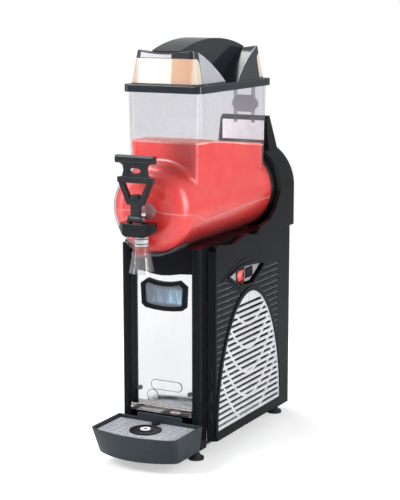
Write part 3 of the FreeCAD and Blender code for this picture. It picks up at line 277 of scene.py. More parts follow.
def frozen_drink(name, deep=(0.88, 0.012, 0.010), light=(0.95, 0.045, 0.032), frost=0.14,
                 glow=0.22):
    """Red slush: fine ice grains, darker syrup between them and paler, frosted clumps, painted shade on the
    hopper's front wall and a painted glow of its own colour.
    """
    look = Look(name)
    clumps = look.noise(24, 5, 0.62, distortion=0.4)
    grains = look.cells(520)
    fine = look.noise(900, 3, 0.7)
    syrup = look.mix(look.span(clumps, 0.32, 0.68), deep, light)
    speck = look.math("MULTIPLY", look.span(grains, 0.0, 0.55, 1.0, 0.0), frost)
    # painted shade on the right part of the hopper's front wall, above the drum
    syrup = look.mix(hopper_shade(look), syrup, scaled(deep, 0.42))
    iced = look.mix(speck, syrup, (0.98, 0.34, 0.30))
    height = look.math("ADD", look.math("MULTIPLY", grains, 0.6), look.math("MULTIPLY", fine, 0.5))
    # the emission here is a painted glow: the drink is no lamp
    look.surface(Base_Color=iced, Subsurface_Weight=0.5, Subsurface_Radius=(0.9, 0.14, 0.10),
                 Subsurface_Scale=0.01, Roughness=look.span(fine, 0.35, 0.65, 0.25, 0.55),
                 Specular_IOR_Level=0.35, Normal=look.bump(height, 0.3, 0.0006),
                 Emission_Color=iced, Emission_Strength=glow)
    return look.mat


def lamp_lens(name):
    """Cream lens lit from behind: palest over the lamps, warmer towards one side where it is thicker."""
    look = Look(name)
    across = look.span(look.axis("X"), -72 * MM, 72 * MM)
    warm = look.ramp(across, (0.0, (0.46, 0.30, 0.25)), (0.10, (0.56, 0.41, 0.34)),
                     (0.17, (0.72, 0.69, 0.65)), (0.60, (0.72, 0.68, 0.61)), (0.63, (0.60, 0.37, 0.25)),
                     (0.885, (0.56, 0.32, 0.22)), (0.925, (0.62, 0.52, 0.42)), (1.0, (0.56, 0.50, 0.44)))
    level = look.add("RGBToBW", {"Color": warm}).outputs[0]
    # painted shade: darker along the lens's edges
    shade = look.mix(look.edges(2.2 * MM, 0.02, 0.5), warm, (0.24, 0.17, 0.15))
    ribs = look.add("TexWave", {"Vector": look.coords, "Scale": 420.0, "Distortion": 0.0},
                    bands_direction="X")
    look.surface(Base_Color=shade, Roughness=0.3, Subsurface_Weight=0.2, Subsurface_Scale=0.004,
                 Emission_Color=shade, Emission_Strength=look.span(level, 0.3, 0.7, 0.08, 0.22),
                 Normal=look.bump(ribs.outputs["Fac"], 0.05, 0.0002, look.rounded(0.8 * MM)))
    return look.mat


def display_glass(name):
    """Tinted window over a blue display: soft upright bars, brighter to one lower corner, no characters."""
    look = Look(name)
    x = look.span(look.axis("X"), DISPLAY_LOW.x, DISPLAY_HIGH.x)
    z = look.span(look.axis("Z"), DISPLAY_LOW.z, DISPLAY_HIGH.z)
    bars = look.noise(1, 3, 0.6, look.stretched((170, 1, 22)))
    fall = look.math("MULTIPLY", look.math("SUBTRACT", 1.0, z), 0.25)
    corner = look.math("ADD", look.math("MULTIPLY", x, 0.62), fall)
    contrast = look.math("MULTIPLY", look.math("SUBTRACT", bars, 0.5), 1.1)
    level = look.math("ADD", corner, contrast)
    edge_x = look.math("MULTIPLY", look.span(x, 0.0, 0.09), look.span(x, 0.93, 1.0, 1.0, 0.0))
    edge_z = look.math("MULTIPLY", look.span(z, 0.06, 0.2), look.span(z, 0.74, 0.9, 1.0, 0.0))
    inside = look.math("MULTIPLY", edge_x, edge_z)
    blue = look.ramp(look.math("MULTIPLY", level, inside), (0.02, (0.075, 0.085, 0.10)),
                     (0.35, (0.11, 0.15, 0.20)), (0.62, (0.17, 0.27, 0.36)), (0.9, (0.38, 0.58, 0.70)))
    look.surface(Base_Color=blue, Roughness=0.14, Emission_Color=blue, Emission_Strength=0.22,
                 Coat_Weight=0.3, Normal=look.bump(look.noise(300, 2), 0.04))
    return look.mat


def rubbery(name, colour):
    """Matt rubber with a bloom of dust."""
    look = Look(name)
    grain = look.noise(1500, 4, 0.7)
    dust = look.mix(look.span(look.noise(60, 5), 0.4, 0.75), colour, scaled(colour, 1.8, 0.015))
    look.surface(Base_Color=dust, Roughness=0.72, Specular_IOR_Level=0.3,
                 Normal=look.bump(grain, 0.25, 0.0001, look.rounded(0.6 * MM)))
    return look.mat


def lit_red(name):
    """Lit translucent rocker with a hot spot over its lamp."""
    look = Look(name)
    low, high = (Vector(corner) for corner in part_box("power_rocker"))
    lamp = (low + high) / 2 + Vector((0, -2 * MM, 1 * MM))
    away = look.add("VectorMath", {0: look.coords, 1: tuple(lamp)}, operation="DISTANCE")
    glow = look.span(away.outputs["Value"], 2 * MM, 14 * MM, 1.0, 0.0)
    colour = look.ramp(glow, (0.0, (0.30, 0.008, 0.008)), (0.55, (0.78, 0.02, 0.015)),
                       (1.0, (1.0, 0.22, 0.15)))
    look.surface(Base_Color=colour, Roughness=0.2, Emission_Color=colour, Coat_Weight=0.3,
                 Emission_Strength=look.span(glow, 0.0, 1.0, 0.15, 0.9),
                 Normal=look.bump(look.noise(700, 2), 0.05, 0.0001, look.rounded(0.6 * MM)))
    return look.mat


def circuit_board(name):
    """Green board with paler tracks between its cells."""
    look = Look(name)
    tracks = look.cells(160, "DISTANCE_TO_EDGE")
    green = look.mix(look.span(tracks, 0.02, 0.06, 1.0, 0.0), (0.012, 0.09, 0.035), (0.05, 0.22, 0.09))
    look.surface(Base_Color=green, Roughness=0.35)
    return look.mat


def fin_stock(name):
    """Aluminium fins with a shallow pressed ripple."""
    look = Look(name)
    ripple = look.add("TexWave", {"Vector": look.coords, "Scale": 60.0, "Distortion": 0.3},
                      bands_direction="Z")
    grey = look.ramp(ripple.outputs["Fac"], (0, (0.16, 0.16, 0.17)), (1, (0.30, 0.30, 0.31)))
    look.surface(Base_Color=grey, Metallic=0.9, Roughness=0.42)
    return look.mat


BLACK = (0.0050, 0.0056, 0.0078)
SLATE = (0.019, 0.026, 0.032)

# looks for the record's material slots
LOOKS = {
    "black_gloss": moulded("black_gloss", BLACK, 0.2, 0.07),
    "black_satin": moulded("black_satin", (0.008, 0.008, 0.010), 0.36, 0.1),
    "grid_grey": moulded("grid_grey", (0.38, 0.40, 0.43), 0.3, 0.4, wear_and_sheen=0.0),
    "float_white": moulded("float_white", (0.85, 0.85, 0.85), 0.3, wear_and_sheen=0.0),
    "mirror_steel": polished_sheet("mirror_steel", (0.90, 0.905, 0.92)),
    "steel": brushed("steel", (0.6, 0.6, 0.61)),
    "zinc_sheet": galvanised("zinc_sheet"),
    "motor_paint": moulded("motor_paint", (0.012, 0.012, 0.013), 0.35, wear_and_sheen=0.1),
    "fin_stock": fin_stock("fin_stock"),
    "copper": brushed("copper", (0.55, 0.24, 0.13), (500, 500, 500), 0.3),
    "circuit_board": circuit_board("circuit_board"),
    "display_window": display_glass("display_window"),
    "silver_plastic": moulded("silver_plastic", (0.54, 0.545, 0.58), 0.32, 0.4, wear_and_sheen=0.0),
    "red_lens": lit_red("red_lens"),
    "foot_rubber": rubbery("foot_rubber", (0.014, 0.014, 0.015)),
    "white_plastic": moulded("white_plastic", (0.72, 0.72, 0.70), 0.4, wear_and_sheen=0.0),
    "clear_bowl": clear_plastic("clear_bowl", gloss=0.2, shine=0.6, haze=0.006),
    "slush": frozen_drink("slush"),
    "lamp_lens": lamp_lens("lamp_lens"),
    "lamp_white": moulded("lamp_white", (0.8, 0.8, 0.78), 0.4, wear_and_sheen=0.0),
}

# looks for single CAD nodes
NODE_LOOKS = {
    "panel_screws": brushed("screw_steel", (0.16, 0.16, 0.17), (300, 300, 300), 0.3),
    # contact plate: its glow is painted light, the plate is no lamp
    "contact_plate": moulded("contact_white", (0.92, 0.92, 0.93), 0.25, wear_and_sheen=0.0, glow=0.55),
    # drip tray: its paler rim edges are a painted highlight
    "drip_tray": moulded("tray_lip", SLATE, 0.34, 0.3, wear_and_sheen=0.45, edge=1.3 * MM),
    "front_panel": polished_sheet("panel_steel", (0.76, 0.765, 0.785), rail_reflections=True),
    "lid_trims": moulded("crescent_silver", (0.33, 0.335, 0.37), 0.32, 0.35, wear_and_sheen=0.0),
    "top_deck": moulded("deck_black", BLACK, 0.5, 0.05, edge=1.5 * MM),
    "rear_tower": moulded("tower_black", BLACK, 0.22, 0.08, edge=2 * MM),
    "switch_plate": moulded("switch_silver", (0.30, 0.30, 0.32), 0.3, 0.3),
    "louvres": moulded("louvre_black", (0.040, 0.045, 0.054), 0.24, 0.5),
    "lid_shell": moulded("lid_black", (0.010, 0.014, 0.019), 0.14, 0.5, edge=1.0 * MM),
    "tap_handle": moulded("tap_black", (0.011, 0.014, 0.017), 0.25, 0.32, edge=1.2 * MM),
    "tap_collar": moulded("collar_black", (0.004, 0.005, 0.007), 0.12, 0.32, edge=2.6 * MM),
    "spout_skirt": clear_plastic("skirt_plastic", (0.93, 0.93, 0.94), (0.42, 0.44, 0.48), 0.03, 0.9,
                                 0.03),
    "drip_gutter": clear_plastic("gutter_plastic", (0.90, 0.90, 0.91), (0.40, 0.42, 0.46), 0.05, 0.5,
                                 0.03),
}

# looks for the pieces made in this script
RIB_LOOK = clear_plastic("rib_plastic", (0.99, 0.86, 0.84), (0.9, 0.6, 0.58), 0.12, 0.6, 0.35)
BOSS_LOOK = clear_plastic("boss_plastic", (0.66, 0.55, 0.62), (0.20, 0.12, 0.17), 0.03, 1.0, 0.12)
# froth: its glow is painted light, the drink is no lamp
FROTH_LOOK = frozen_drink("froth", (0.94, 0.20, 0.17), (0.97, 0.50, 0.45), 0.5, 0.15)
RESIDUE_LOOK = frozen_drink("residue", (0.42, 0.030, 0.022), (0.60, 0.12, 0.09), 0.12, 0.0)
BADGE_LOOK = polished_sheet("badge_metal", (0.80, 0.80, 0.82), 0.12)
BADGE_EDGE = moulded("badge_edge", (0.16, 0.16, 0.17), 0.3, 0.5, wear_and_sheen=0.0)
# frosted cover: its glow is painted light, the cover is no lamp
COVER_LOOK = moulded("frosted_cover", (0.55, 0.56, 0.60), 0.45, 0.3, wear_and_sheen=0.0, glow=0.1)
# pale look of the crown's painted reflection
CROWN_REFLECTION_LOOK = moulded("crown_painted_reflection", (0.50, 0.50, 0.53), 0.2, 0.5, wear_and_sheen=0.0)
STRIP_LOOK = clear_plastic("strip_plastic", (0.72, 0.72, 0.75), (0.4, 0.4, 0.44), 0.15, 0.5, 0.1)


def paint_cad():
    """Gives every CAD node its own look, or that of its material slot in the record."""
    for entry in frame["record"]["subparts"]:
        mesh = frame["nodes"][entry["node"]].data
        mesh.materials.clear()
        mesh.materials.append(NODE_LOOKS.get(entry["node"]) or LOOKS[entry["material_slot"]])


# ---------------------------------------------------------------- mesh helpers
def piece(name, mesh, body, look, smooth=True):
    """A finished mesh object that rides on a CAD body."""
    if smooth:
        mesh.polygons.foreach_set("use_smooth", [True] * len(mesh.polygons))
    obj = bpy.data.objects.new(name, mesh)
    bpy.context.scene.collection.objects.link(obj)
    mesh.materials.append(LOOKS[look] if isinstance(look, str) else look)
    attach(obj, body)
    return obj


def mesh_from(name, vertices, faces):
    mesh = bpy.data.meshes.new(name)
    mesh.from_pydata([tuple(v) for v in vertices], [], faces)
    mesh.update()
    bm = bmesh.new()
    bm.from_mesh(mesh)
    bmesh.ops.recalc_face_normals(bm, faces=bm.faces)
    bm.to_mesh(mesh)
    bm.free()
    return mesh


def circle(centre, radius, z, steps):
    """Points of a level circle."""
    turns = (2 * math.pi * k / steps for k in range(steps))
    return [Vector((centre.x + radius * math.cos(a), centre.y + radius * math.sin(a), z)) for a in turns]


def lofted(name, rings):
    """A closed skin over rings with equal numbers of points, with flat ends."""
    steps = len(rings[0])
    vertices = [point for ring in rings for point in ring]
    faces = []
    for start in range(0, len(vertices) - steps, steps):
        for k in range(steps):
            a, b = start + k, start + (k + 1) % steps
            faces.append((a, b, b + steps, a + steps))
    faces.append(tuple(range(steps)))
    faces.append(tuple(range(len(vertices) - steps, len(vertices))))
    return mesh_from(name, vertices, faces)


def tube_mesh(name, path, radius, sides=8):
    """A closed tube along a path of points."""
    rings = []
    for index, point in enumerate(path):
        ahead = path[min(index + 1, len(path) - 1)] - path[max(index - 1, 0)]
        side = ahead.cross(Vector((0.1, 0.2, 1))).normalized()
        up = ahead.cross(side).normalized()
        turns = (2 * math.pi * k / sides for k in range(sides))
        rings.append([point + side * (radius * math.cos(a)) + up * (radius * math.sin(a)) for a in turns])
    return lofted(name, rings)


# ---------------------------------------------------------------- the frozen drink's surface
def drink_level(y):
    """Height of the CAD drink's top: nearly level at the front, then falling towards the back."""
    bend, back = FRONT_Y + 80 * MM, FRONT_Y + 310 * MM
    first_fall, second_fall = 1 * MM, 28.5 * MM
    if y < bend:
        return SLUSH_TOP - first_fall * (y - FRONT_Y) / (bend - FRONT_Y)
    return SLUSH_TOP - first_fall - second_fall * (y - bend) / (back - bend)


def churned(x, y):
    """Height of the ice above the drink: a slow swell with small chop on it."""
    swell = noise.noise(Vector((x * 22, y * 24, 3.1))) * 2.0 * MM
    chop = noise.noise(Vector((x * 110, y * 105, 7.7))) * 1.1 * MM
    return max(3.4 * MM + swell + chop, 0.6 * MM)


def slush_crown():
    """Closed cap of churned ice on top of the CAD slush, with a wavy edge against the hopper's walls."""
    columns, rows = 61, 121
    half, corner = 72.3 * MM, 12 * MM
    front, back = FRONT_Y + 14.2 * MM, FRONT_Y + 294.0 * MM
    top, bottom = {}, {}
    vertices, faces = [], []
    for j in range(rows):
        y = front + (back - front) * j / (rows - 1)
        inset, reach = 0.0, min(y - front, back - y)
        if reach < corner:
            inset = corner - math.sqrt(max(corner ** 2 - (corner - reach) ** 2, 0))
        base = drink_level(y) - 0.3 * MM
        for i in range(columns):
            x = (-1 + 2 * i / (columns - 1)) * (half - inset)
            top[i, j] = len(vertices)
            bottom[i, j] = len(vertices) + 1
            vertices += [Vector((x, y, base + churned(x, y))), Vector((x, y, base))]
    for j in range(rows - 1):
        for i in range(columns - 1):
            faces.append((top[i, j], top[i + 1, j], top[i + 1, j + 1], top[i, j + 1]))
            faces.append((bottom[i, j], bottom[i, j + 1], bottom[i + 1, j + 1], bottom[i + 1, j]))
    rim = [(i, 0) for i in range(columns)] + [(columns - 1, j) for j in range(1, rows)]
    rim += [(i, rows - 1) for i in range(columns - 2, -1, -1)] + [(0, j) for j in range(rows - 2, 0, -1)]
    for a, b in zip(rim, rim[1:] + rim[:1]):
        faces.append((top[a], bottom[a], bottom[b], top[b]))
    piece("slush_crown", mesh_from("slush_crown", vertices, faces), "bowl", FROTH_LOOK)


# ---------------------------------------------------------------- details of the bowl
def drum_surface(angle, y, lift=0.0):
    """A point on the drum's skin; angle 0 is +X and a quarter turn is up. At the front it folds inwards."""
    start = DRUM_FRONT + DRUM_ROUND
    if y >= start:
        radius = DRUM_R + lift
    else:
        inside = min((start - y) / DRUM_ROUND, 1.0)
        radius = DRUM_R - DRUM_ROUND + (DRUM_ROUND + lift) * math.sqrt(max(1 - inside ** 2, 0))
    return Vector((radius * math.cos(angle), y, AXIS_Z + radius * math.sin(angle)))


def parting_line():
    """Half of the mould's parting line: over the nose, dipping past the round, then along the side."""
    lift, start = 0.1 * MM, 18 * MM
    along_side = [(-16, -3.5), (8, -9.5), (31, -17.5), (60, -16.0), (124, -12.7), (200, -10.5), (300, -9.0)]
    points = []
    for k in range(41):
        share = k / 40
        points.append(Vector((start + (DRUM_R - DRUM_ROUND - start) * share, DRUM_FRONT - lift,
                              AXIS_Z + 0.5 * MM - 2.2 * MM * share)))
    for k in range(1, 25):
        y = DRUM_FRONT + DRUM_ROUND * (1 - math.cos(math.pi / 2 * k / 24))
        points.append(drum_surface(math.radians(-2.2 - 1.3 * k / 24), y, lift))
    for (y0, a0), (y1, a1) in zip(along_side, along_side[1:]):
        for k in range(1, 9):
            share = k / 8
            y = FRONT_Y + (y0 + (y1 - y0) * share) * MM
            points.append(drum_surface(math.radians(a0 + (a1 - a0) * share), y, lift))
    return points


def parting_ribs():
    half = parting_line()
    for side, name in ((1, "parting_rib_right"), (-1, "parting_rib_left")):
        path = [Vector((side * p.x, p.y, p.z)) for p in half]
        piece(name, tube_mesh(name, path, 0.42 * MM), "bowl", RIB_LOOK)


def faceted_boss():
    """Clear cut-glass boss on the nose of the drum, over the auger's end: wider than it is high."""
    vertices, faces = [], []
    sides, half_height = 18, 16.5
    face_y = DRUM_FRONT - 7 * MM
    rings = [(21.5, 7.2), (19.0, 4.0), (15.4, 0.8), (13.0, 0.3), (9.5, 2.6), (6.0, 0.5), (2.2, 1.8)]
    for index, (radius, depth) in enumerate(rings):
        for k in range(sides):
            angle = 2 * math.pi * (k + 0.5 * (index % 2)) / sides
            vertices.append(Vector((radius * MM * math.cos(angle), face_y + depth * MM,
                                    AXIS_Z + min(radius, half_height) * MM * math.sin(angle))))
    for index in range(len(rings) - 1):
        for k in range(sides):
            a, b = index * sides + k, index * sides + (k + 1) % sides
            c, d = a + sides, b + sides
            if index % 2 == 0:
                faces += [(a, b, c), (b, d, c)]
            else:
                faces += [(a, b, d), (a, d, c)]
    faces.append(tuple(range(sides)))
    faces.append(tuple(range(len(vertices) - sides, len(vertices))))
    piece("nose_boss", mesh_from("nose_boss", vertices, faces), "bowl", BOSS_LOOK, smooth=False)


def plate_mesh(name, outline, front, thickness, chamfer, lean=0.0):
    """A flat plate facing -Y from an (x, z) outline, chamfered round its front; it may lean back."""
    count = len(outline)
    middle = Vector((sum(p[0] for p in outline) / count, sum(p[1] for p in outline) / count))
    vertices, faces = [], []
    for depth, inset in ((thickness, 0.0), (chamfer, 0.0), (0.0, chamfer)):
        for x, z in outline:
            inward = (middle - Vector((x, z))).normalized() * inset
            y = front + depth + lean * (z - outline[0][1])
            vertices.append(Vector((x + inward.x, y, z + inward.y)))
    for ring in range(2):
        for k in range(count):
            a, b = ring * count + k, ring * count + (k + 1) % count
            faces.append((a, b, b + count, a + count))
    faces.append(tuple(range(count)))
    faces.append(tuple(range(2 * count, 3 * count)))
    return mesh_from(name, vertices, faces)


def capsule(centre_x, centre_z, half_length, radius, steps=12):
    """Outline of a bar with round ends, as (x, z)."""
    points = []
    for side, start in ((1, -90), (-1, 90)):
        for k in range(steps + 1):
            angle = math.radians(start + 180 * k / steps)
            points.append((centre_x + side * (half_length - radius) + radius * math.cos(angle),
                           centre_z + radius * math.sin(angle)))
    return points


def outline_tube(name, outline, y, radius, body, look):
    """A round moulding that runs right round an (x, z) outline."""
    path = [Vector((x, y, z)) for x, z in outline]
    sides, count = 8, len(path)
    vertices, faces = [], []
    for index, point in enumerate(path):
        ahead = (path[(index + 1) % count] - path[index - 1]).normalized()
        side = ahead.cross(Vector((0, 1, 0)))
        for k in range(sides):
            angle = 2 * math.pi * k / sides
            outwards = side * (radius * math.cos(angle))
            vertices.append(point + outwards + Vector((0, radius * math.sin(angle), 0)))
    for index in range(count):
        for k in range(sides):
            a, b = index * sides + k, index * sides + (k + 1) % sides
            c, d = (a + sides) % len(vertices), (b + sides) % len(vertices)
            faces.append((a, b, d, c))
    piece(name, mesh_from(name, vertices, faces), body, look)


def blank_badges():
    """A blank capsule badge and a blank round one on the polished panel, with raised rims."""
    long_badge = capsule(4 * MM, 132.5 * MM, 33 * MM, 9.2 * MM)
    seal_x, seal_z, seal_r = -26 * MM, 110.5 * MM, 11.5 * MM
    seal = [(seal_x + seal_r * math.cos(a), seal_z + seal_r * math.sin(a))
            for a in (2 * math.pi * k / 32 for k in range(32))]
    for name, outline in (("blank_badge", long_badge), ("blank_seal", seal)):
        plate = plate_mesh(name, outline, PANEL_FACE - 0.8 * MM, 0.75 * MM, 0.3 * MM)
        piece(name, plate, "casing", BADGE_LOOK, smooth=False)
        outline_tube(name + "_rim", outline, PANEL_FACE - 0.7 * MM, 0.7 * MM, "casing", BADGE_EDGE)


def lamp_lead():
    """Frosted cover and two conductor strips up the hopper's rear wall, from the contact plate to the lid."""
    low, high = 627 * MM, 661 * MM
    left, right, cut = -4 * MM, 53 * MM, 12 * MM
    octagon = [(left, low + cut), (left + cut, low), (right - cut, low), (right, low + cut),
               (right, high - cut), (right - cut, high), (left + cut, high), (left, high - cut)]
    cover = plate_mesh("lead_cover", octagon, HOPPER_BACK + 0.6 * MM, 2.4 * MM, 0.8 * MM)
    piece("lead_cover", cover, "bowl", COVER_LOOK, smooth=False)
    half, foot, head = 4 * MM, 606 * MM, 680 * MM
    for x, name in ((3 * MM, "lead_strip_left"), (42 * MM, "lead_strip_right")):
        strip = [(x - half, foot), (x + half, foot), (x + half, head), (x - half, head)]
        mesh = plate_mesh(name, strip, HOPPER_BACK + 1.2 * MM, 1.0 * MM, 0.3 * MM)
        piece(name, mesh, "bowl", STRIP_LOOK, smooth=False)


def knob_ridges():
    """Fluted crown round the top of the tap lever's knob."""
    flutes, flute_depth = 18, 0.45
    steps = flutes * 4
    rings = []
    for radius, z in ((8.3, 500.4), (8.6, 501.6), (8.6, 506.2), (7.6, 508.4)):
        ring = []
        for k in range(steps):
            angle = 2 * math.pi * k / steps
            ripple = (radius + flute_depth * math.cos(flutes * angle)) * MM
            ring.append(Vector((TAP_X + ripple * math.cos(angle), KNOB_Y + ripple * math.sin(angle), z * MM)))
        rings.append(ring)
    mesh = lofted("knob_ridges", rings)
    piece("knob_ridges", mesh, "tap_handle", NODE_LOOKS["tap_handle"], smooth=False)


def float_eye():
    """Black eye in the middle of the float's pale button."""
    low, high = (Vector(corner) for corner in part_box("overflow_float"))
    middle, seat = (low + high) / 2, high.z - 1.3 * MM
    rings = [circle(middle, radius * MM, seat + rise * MM, 24)
             for radius, rise in ((4.4, 0.0), (4.4, 0.5), (3.6, 0.9), (1.6, 0.75))]
    piece("float_eye", lofted("float_eye", rings), "overflow_float", "black_satin")


def tube_residue():
    """Film of drink left inside the tap's tube below the piston, with a ragged foot."""
    steps, rows, top = 48, 9, 411.5 * MM
    vertices, faces = [], []
    for radius in (12.35 * MM, 11.9 * MM):
        for row in range(rows):
            for k in range(steps):
                angle = 2 * math.pi * k / steps
                x, y = math.cos(angle), math.sin(angle)
                foot = (395.5 + 2.2 * noise.noise(Vector((x * 2.2, y * 2.2, 4.0)))) * MM
                z = foot + (top - foot) * row / (rows - 1)
                vertices.append(Vector((radius * x, TUBE_Y + radius * y, z)))
    shell = rows * steps
    for row in range(rows - 1):
        for k in range(steps):
            a, b = row * steps + k, row * steps + (k + 1) % steps
            faces.append((a, b, b + steps, a + steps))
            faces.append((a + shell, a + shell + steps, b + shell + steps, b + shell))
    for start in (0, (rows - 1) * steps):
        for k in range(steps):
            a, b = start + k, start + (k + 1) % steps
            faces.append((a, b, b + shell, a + shell))
    piece("tube_residue", mesh_from("tube_residue", vertices, faces), "bowl", RESIDUE_LOOK)


def return_spring():
    """The tap's return spring as a coil that rides on the piston under the fixed collar."""
    low, high = (Vector(corner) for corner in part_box("tap_spring"))
    middle, wire = (low + high) / 2, 0.7 * MM
    turns, steps = 4, 28
    radius = (high.x - low.x) / 2 - wire
    length = high.z - low.z
    path = []
    for k in range(turns * steps + 1):
        angle = 2 * math.pi * k / steps
        z = low.z + wire + (length - 2 * wire) * k / (turns * steps)
        path.append(Vector((middle.x + radius * math.cos(angle), middle.y + radius * math.sin(angle), z)))
    coil = piece("return_spring", tube_mesh("return_spring", path, wire), "tap_piston", LOOKS["steel"])
    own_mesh(coil)
    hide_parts("tap_spring")


def dark_shade_mat():
    """Pleated dark mat behind the slots of the back panel: a dark sheet standing in for the shade inside the
    casing, so the white surroundings do not show through.
    """
    low, high = (Vector(corner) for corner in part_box("back_panel"))
    pleat, deep, thick, margin = 4 * MM, 4.5 * MM, 1.2 * MM, 6 * MM
    face, foot, top = low.y - 0.8 * MM, low.z + 20 * MM, high.z - 24 * MM
    columns = int((high.x - low.x - 2 * margin) / pleat)
    vertices, faces = [], []
    for z in (foot, top):
        for back in (0.0, thick):
            for k in range(columns + 1):
                x = low.x + margin + k * pleat
                y = face - thick + back - (deep if k % 2 else 0.0)
                vertices.append(Vector((x, y, z)))
    row = columns + 1
    for k in range(columns):
        faces.append((k, k + 1, 2 * row + k + 1, 2 * row + k))
        faces.append((row + k, 3 * row + k, 3 * row + k + 1, row + k + 1))
        faces.append((k, row + k, row + k + 1, k + 1))
        faces.append((2 * row + k, 2 * row + k + 1, 3 * row + k + 1, 3 * row + k))
    for k in (0, columns):
        faces.append((k, 2 * row + k, 3 * row + k, row + k))
    piece("dark_shade_mat", mesh_from("dark_shade_mat", vertices, faces), "casing", "foot_rubber", smooth=False)


def crown_reflection_strip():
    """Pale strip on the front of the lid's crown, under its hollow: a painted reflection on the glossy black
    crown.
    """
    left, right, foot, hollow = -50, 15.5, 744.4, 750.6
    lid_lean = 6 / 61
    dip = [(min(x, right), hollow + x * x / 560) for x in range(18, left - 1, -6)]
    outline = [(x * MM, z * MM) for x, z in [(left, foot), (right, foot)] + dip]
    strip = plate_mesh("crown_reflection_strip", outline, FRONT_Y + 18.6 * MM, 1.1 * MM, 0.3 * MM, lid_lean)
    piece("crown_reflection_strip", strip, "lid", CROWN_REFLECTION_LOOK, smooth=False)


def rear_arc_highlights():
    """Thin pale tubes along the front edges of the lid's rear end: painted highlights on those edges."""
    arc = [(-126, 694.8), (-116, 703.5), (-104, 713), (-90, 723), (-71, 735.3), (-56, 743.5), (-40, 751),
           (-29, 756)]
    foot, half_at_foot, draft = 690, 70.3, 14.5 / 89
    for side, name in ((1, "rear_highlight_right"), (-1, "rear_highlight_left")):
        path = []
        for y, z in arc:
            half = half_at_foot - (z - foot) * draft
            path.append(Vector((side * half * MM, LID_BACK + y * MM, z * MM)))
        piece(name, tube_mesh(name, path, 0.75 * MM), "lid", "silver_plastic")


# ---------------------------------------------------------------- studio
FLOOR_LIFT = 0.42                                   # how much the floor is lifted towards white
FLOOR_RADIUS = 40.0
LIT_POINT = Vector((0, 0, 0.4))                     # what the lights aim at
WORLD_BASE = 0.45
# brighter parts of the surroundings: direction, cosine where they begin, strength
SKY_PATCHES = [((-0.62, -0.76, 0.1), 0.55, 0.5), ((0.85, 0.50, 0.1), 0.6, 0.3)]
# the camera stands in front and to the machine's +X side, a little above its middle, and looks down
CAMERA_TURN = math.radians(28.205)
CAMERA_DIP = math.radians(10.437)
CAMERA_PLACE = (1.29155, FRONT_Y - 2.25108, 0.87248)
CAMERA_LENS = 103.23


def floor_look():
    """Pale matt floor that fades to plain white away from the machine where the camera sees it directly."""
    look = Look("studio_white")
    faint = look.span(look.noise(3, 2), 0.3, 0.7)
    seen = look.add("LightPath").outputs["Is Camera Ray"]
    look.surface(Base_Color=look.mix(faint, (0.80, 0.80, 0.80), (0.79, 0.79, 0.79)), Roughness=0.7,
                 Specular_IOR_Level=0.1, Emission_Color=WHITE,
                 Emission_Strength=look.math("MULTIPLY", seen, FLOOR_LIFT))
    away = look.add("VectorMath", {0: look.coords}, operation="LENGTH").outputs["Value"]
    white = look.add("Emission", {"Color": (*WHITE, 1)}).outputs[0]
    fade = look.math("MULTIPLY", seen, look.span(away, 0.8, 2.2))
    whole = look.add("MixShader", {0: fade, 1: look.bsdf.outputs[0], 2: white}).outputs[0]
    look.links.new(whole, look.out.inputs["Surface"])
    return look.mat


def studio_floor():
    """Wide round floor just under the feet."""
    rim = circle(Vector((0, 0, 0)), FLOOR_RADIUS, -0.4 * MM, 96)
    mesh = mesh_from("studio_floor", rim, [tuple(range(len(rim)))])
    mesh.materials.append(floor_look())
    floor = bpy.data.objects.new("studio_floor", mesh)
    bpy.context.scene.collection.objects.link(floor)


def area_light(name, place, size, power):
    data = bpy.data.lights.new(name, "AREA")
    data.shape = "RECTANGLE"
    data.size, data.size_y = size
    data.energy = power
    light = bpy.data.objects.new(name, data)
    light.location = place
    light.rotation_euler = (LIT_POINT - Vector(place)).to_track_quat("-Z", "Y").to_euler()
    bpy.context.scene.collection.objects.link(light)


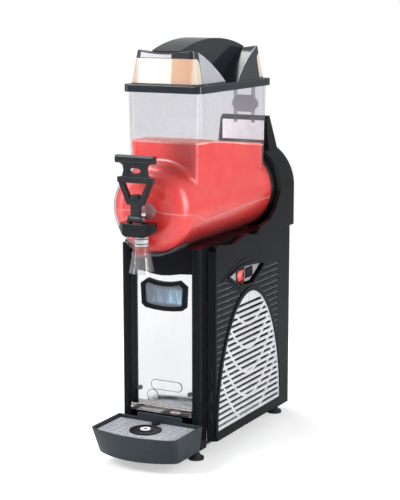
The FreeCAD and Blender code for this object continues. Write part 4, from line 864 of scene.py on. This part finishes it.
def studio_world():
    """White where the camera sees it; what surfaces mirror is greyer, with two brighter patches."""
    world = bpy.data.worlds.new("studio_world")
    bpy.context.scene.world = world
    world.use_nodes = True
    nodes, links = world.node_tree.nodes, world.node_tree.links
    direction = nodes.new("ShaderNodeTexCoord").outputs["Generated"]
    total = None
    for aim, spread, level in SKY_PATCHES:
        dot = nodes.new("ShaderNodeVectorMath")
        dot.operation = "DOT_PRODUCT"
        links.new(direction, dot.inputs[0])
        dot.inputs[1].default_value = Vector(aim).normalized()
        patch = nodes.new("ShaderNodeMapRange")
        links.new(dot.outputs["Value"], patch.inputs["Value"])
        patch.inputs["From Min"].default_value = spread
        patch.inputs["To Max"].default_value = level
        patch.interpolation_type = "SMOOTHSTEP"
        join = nodes.new("ShaderNodeMath")
        links.new(patch.outputs[0], join.inputs[0])
        join.inputs[1].default_value = 0.0 if total else WORLD_BASE
        if total:
            links.new(total, join.inputs[1])
        total = join.outputs[0]
    mirrored = nodes["Background"]
    links.new(total, mirrored.inputs["Strength"])
    mirrored.inputs["Color"].default_value = (*WHITE, 1)
    backdrop = nodes.new("ShaderNodeBackground")
    backdrop.inputs["Color"].default_value = (*WHITE, 1)
    mix = nodes.new("ShaderNodeMixShader")
    links.new(nodes.new("ShaderNodeLightPath").outputs["Is Camera Ray"], mix.inputs[0])
    links.new(mirrored.outputs[0], mix.inputs[1])
    links.new(backdrop.outputs[0], mix.inputs[2])
    links.new(mix.outputs[0], nodes["World Output"].inputs["Surface"])


def studio_lights():
    area_light("key_light", (-1.5, -2.0, 2.3), (1.2, 1.2), 52)
    area_light("side_light", (2.4, -0.2, 1.3), (1.0, 1.8), 26)
    area_light("top_light", (-1.0, 0.6, 2.6), (1.3, 1.3), 32)
    area_light("right_strip", (2.0, -0.7, 0.7), (0.14, 1.5), 11)
    area_light("left_strip", (-1.6, -1.3, 0.6), (0.12, 1.5), 9)
    bpy.context.scene.view_settings.view_transform = "Standard"


def studio_camera():
    data = bpy.data.cameras.new("camera")
    data.lens = CAMERA_LENS
    data.sensor_width = 36.0
    camera = bpy.data.objects.new("camera", data)
    camera.location = CAMERA_PLACE
    camera.rotation_euler = (math.pi / 2 - CAMERA_DIP, 0, CAMERA_TURN)
    bpy.context.scene.collection.objects.link(camera)
    bpy.context.scene.camera = camera


paint_cad()
slush_crown()
parting_ribs()
faceted_boss()
blank_badges()
lamp_lead()
knob_ridges()
float_eye()
tube_residue()
return_spring()
dark_shade_mat()
crown_reflection_strip()
rear_arc_highlights()
studio_floor()
studio_world()
studio_lights()
studio_camera()
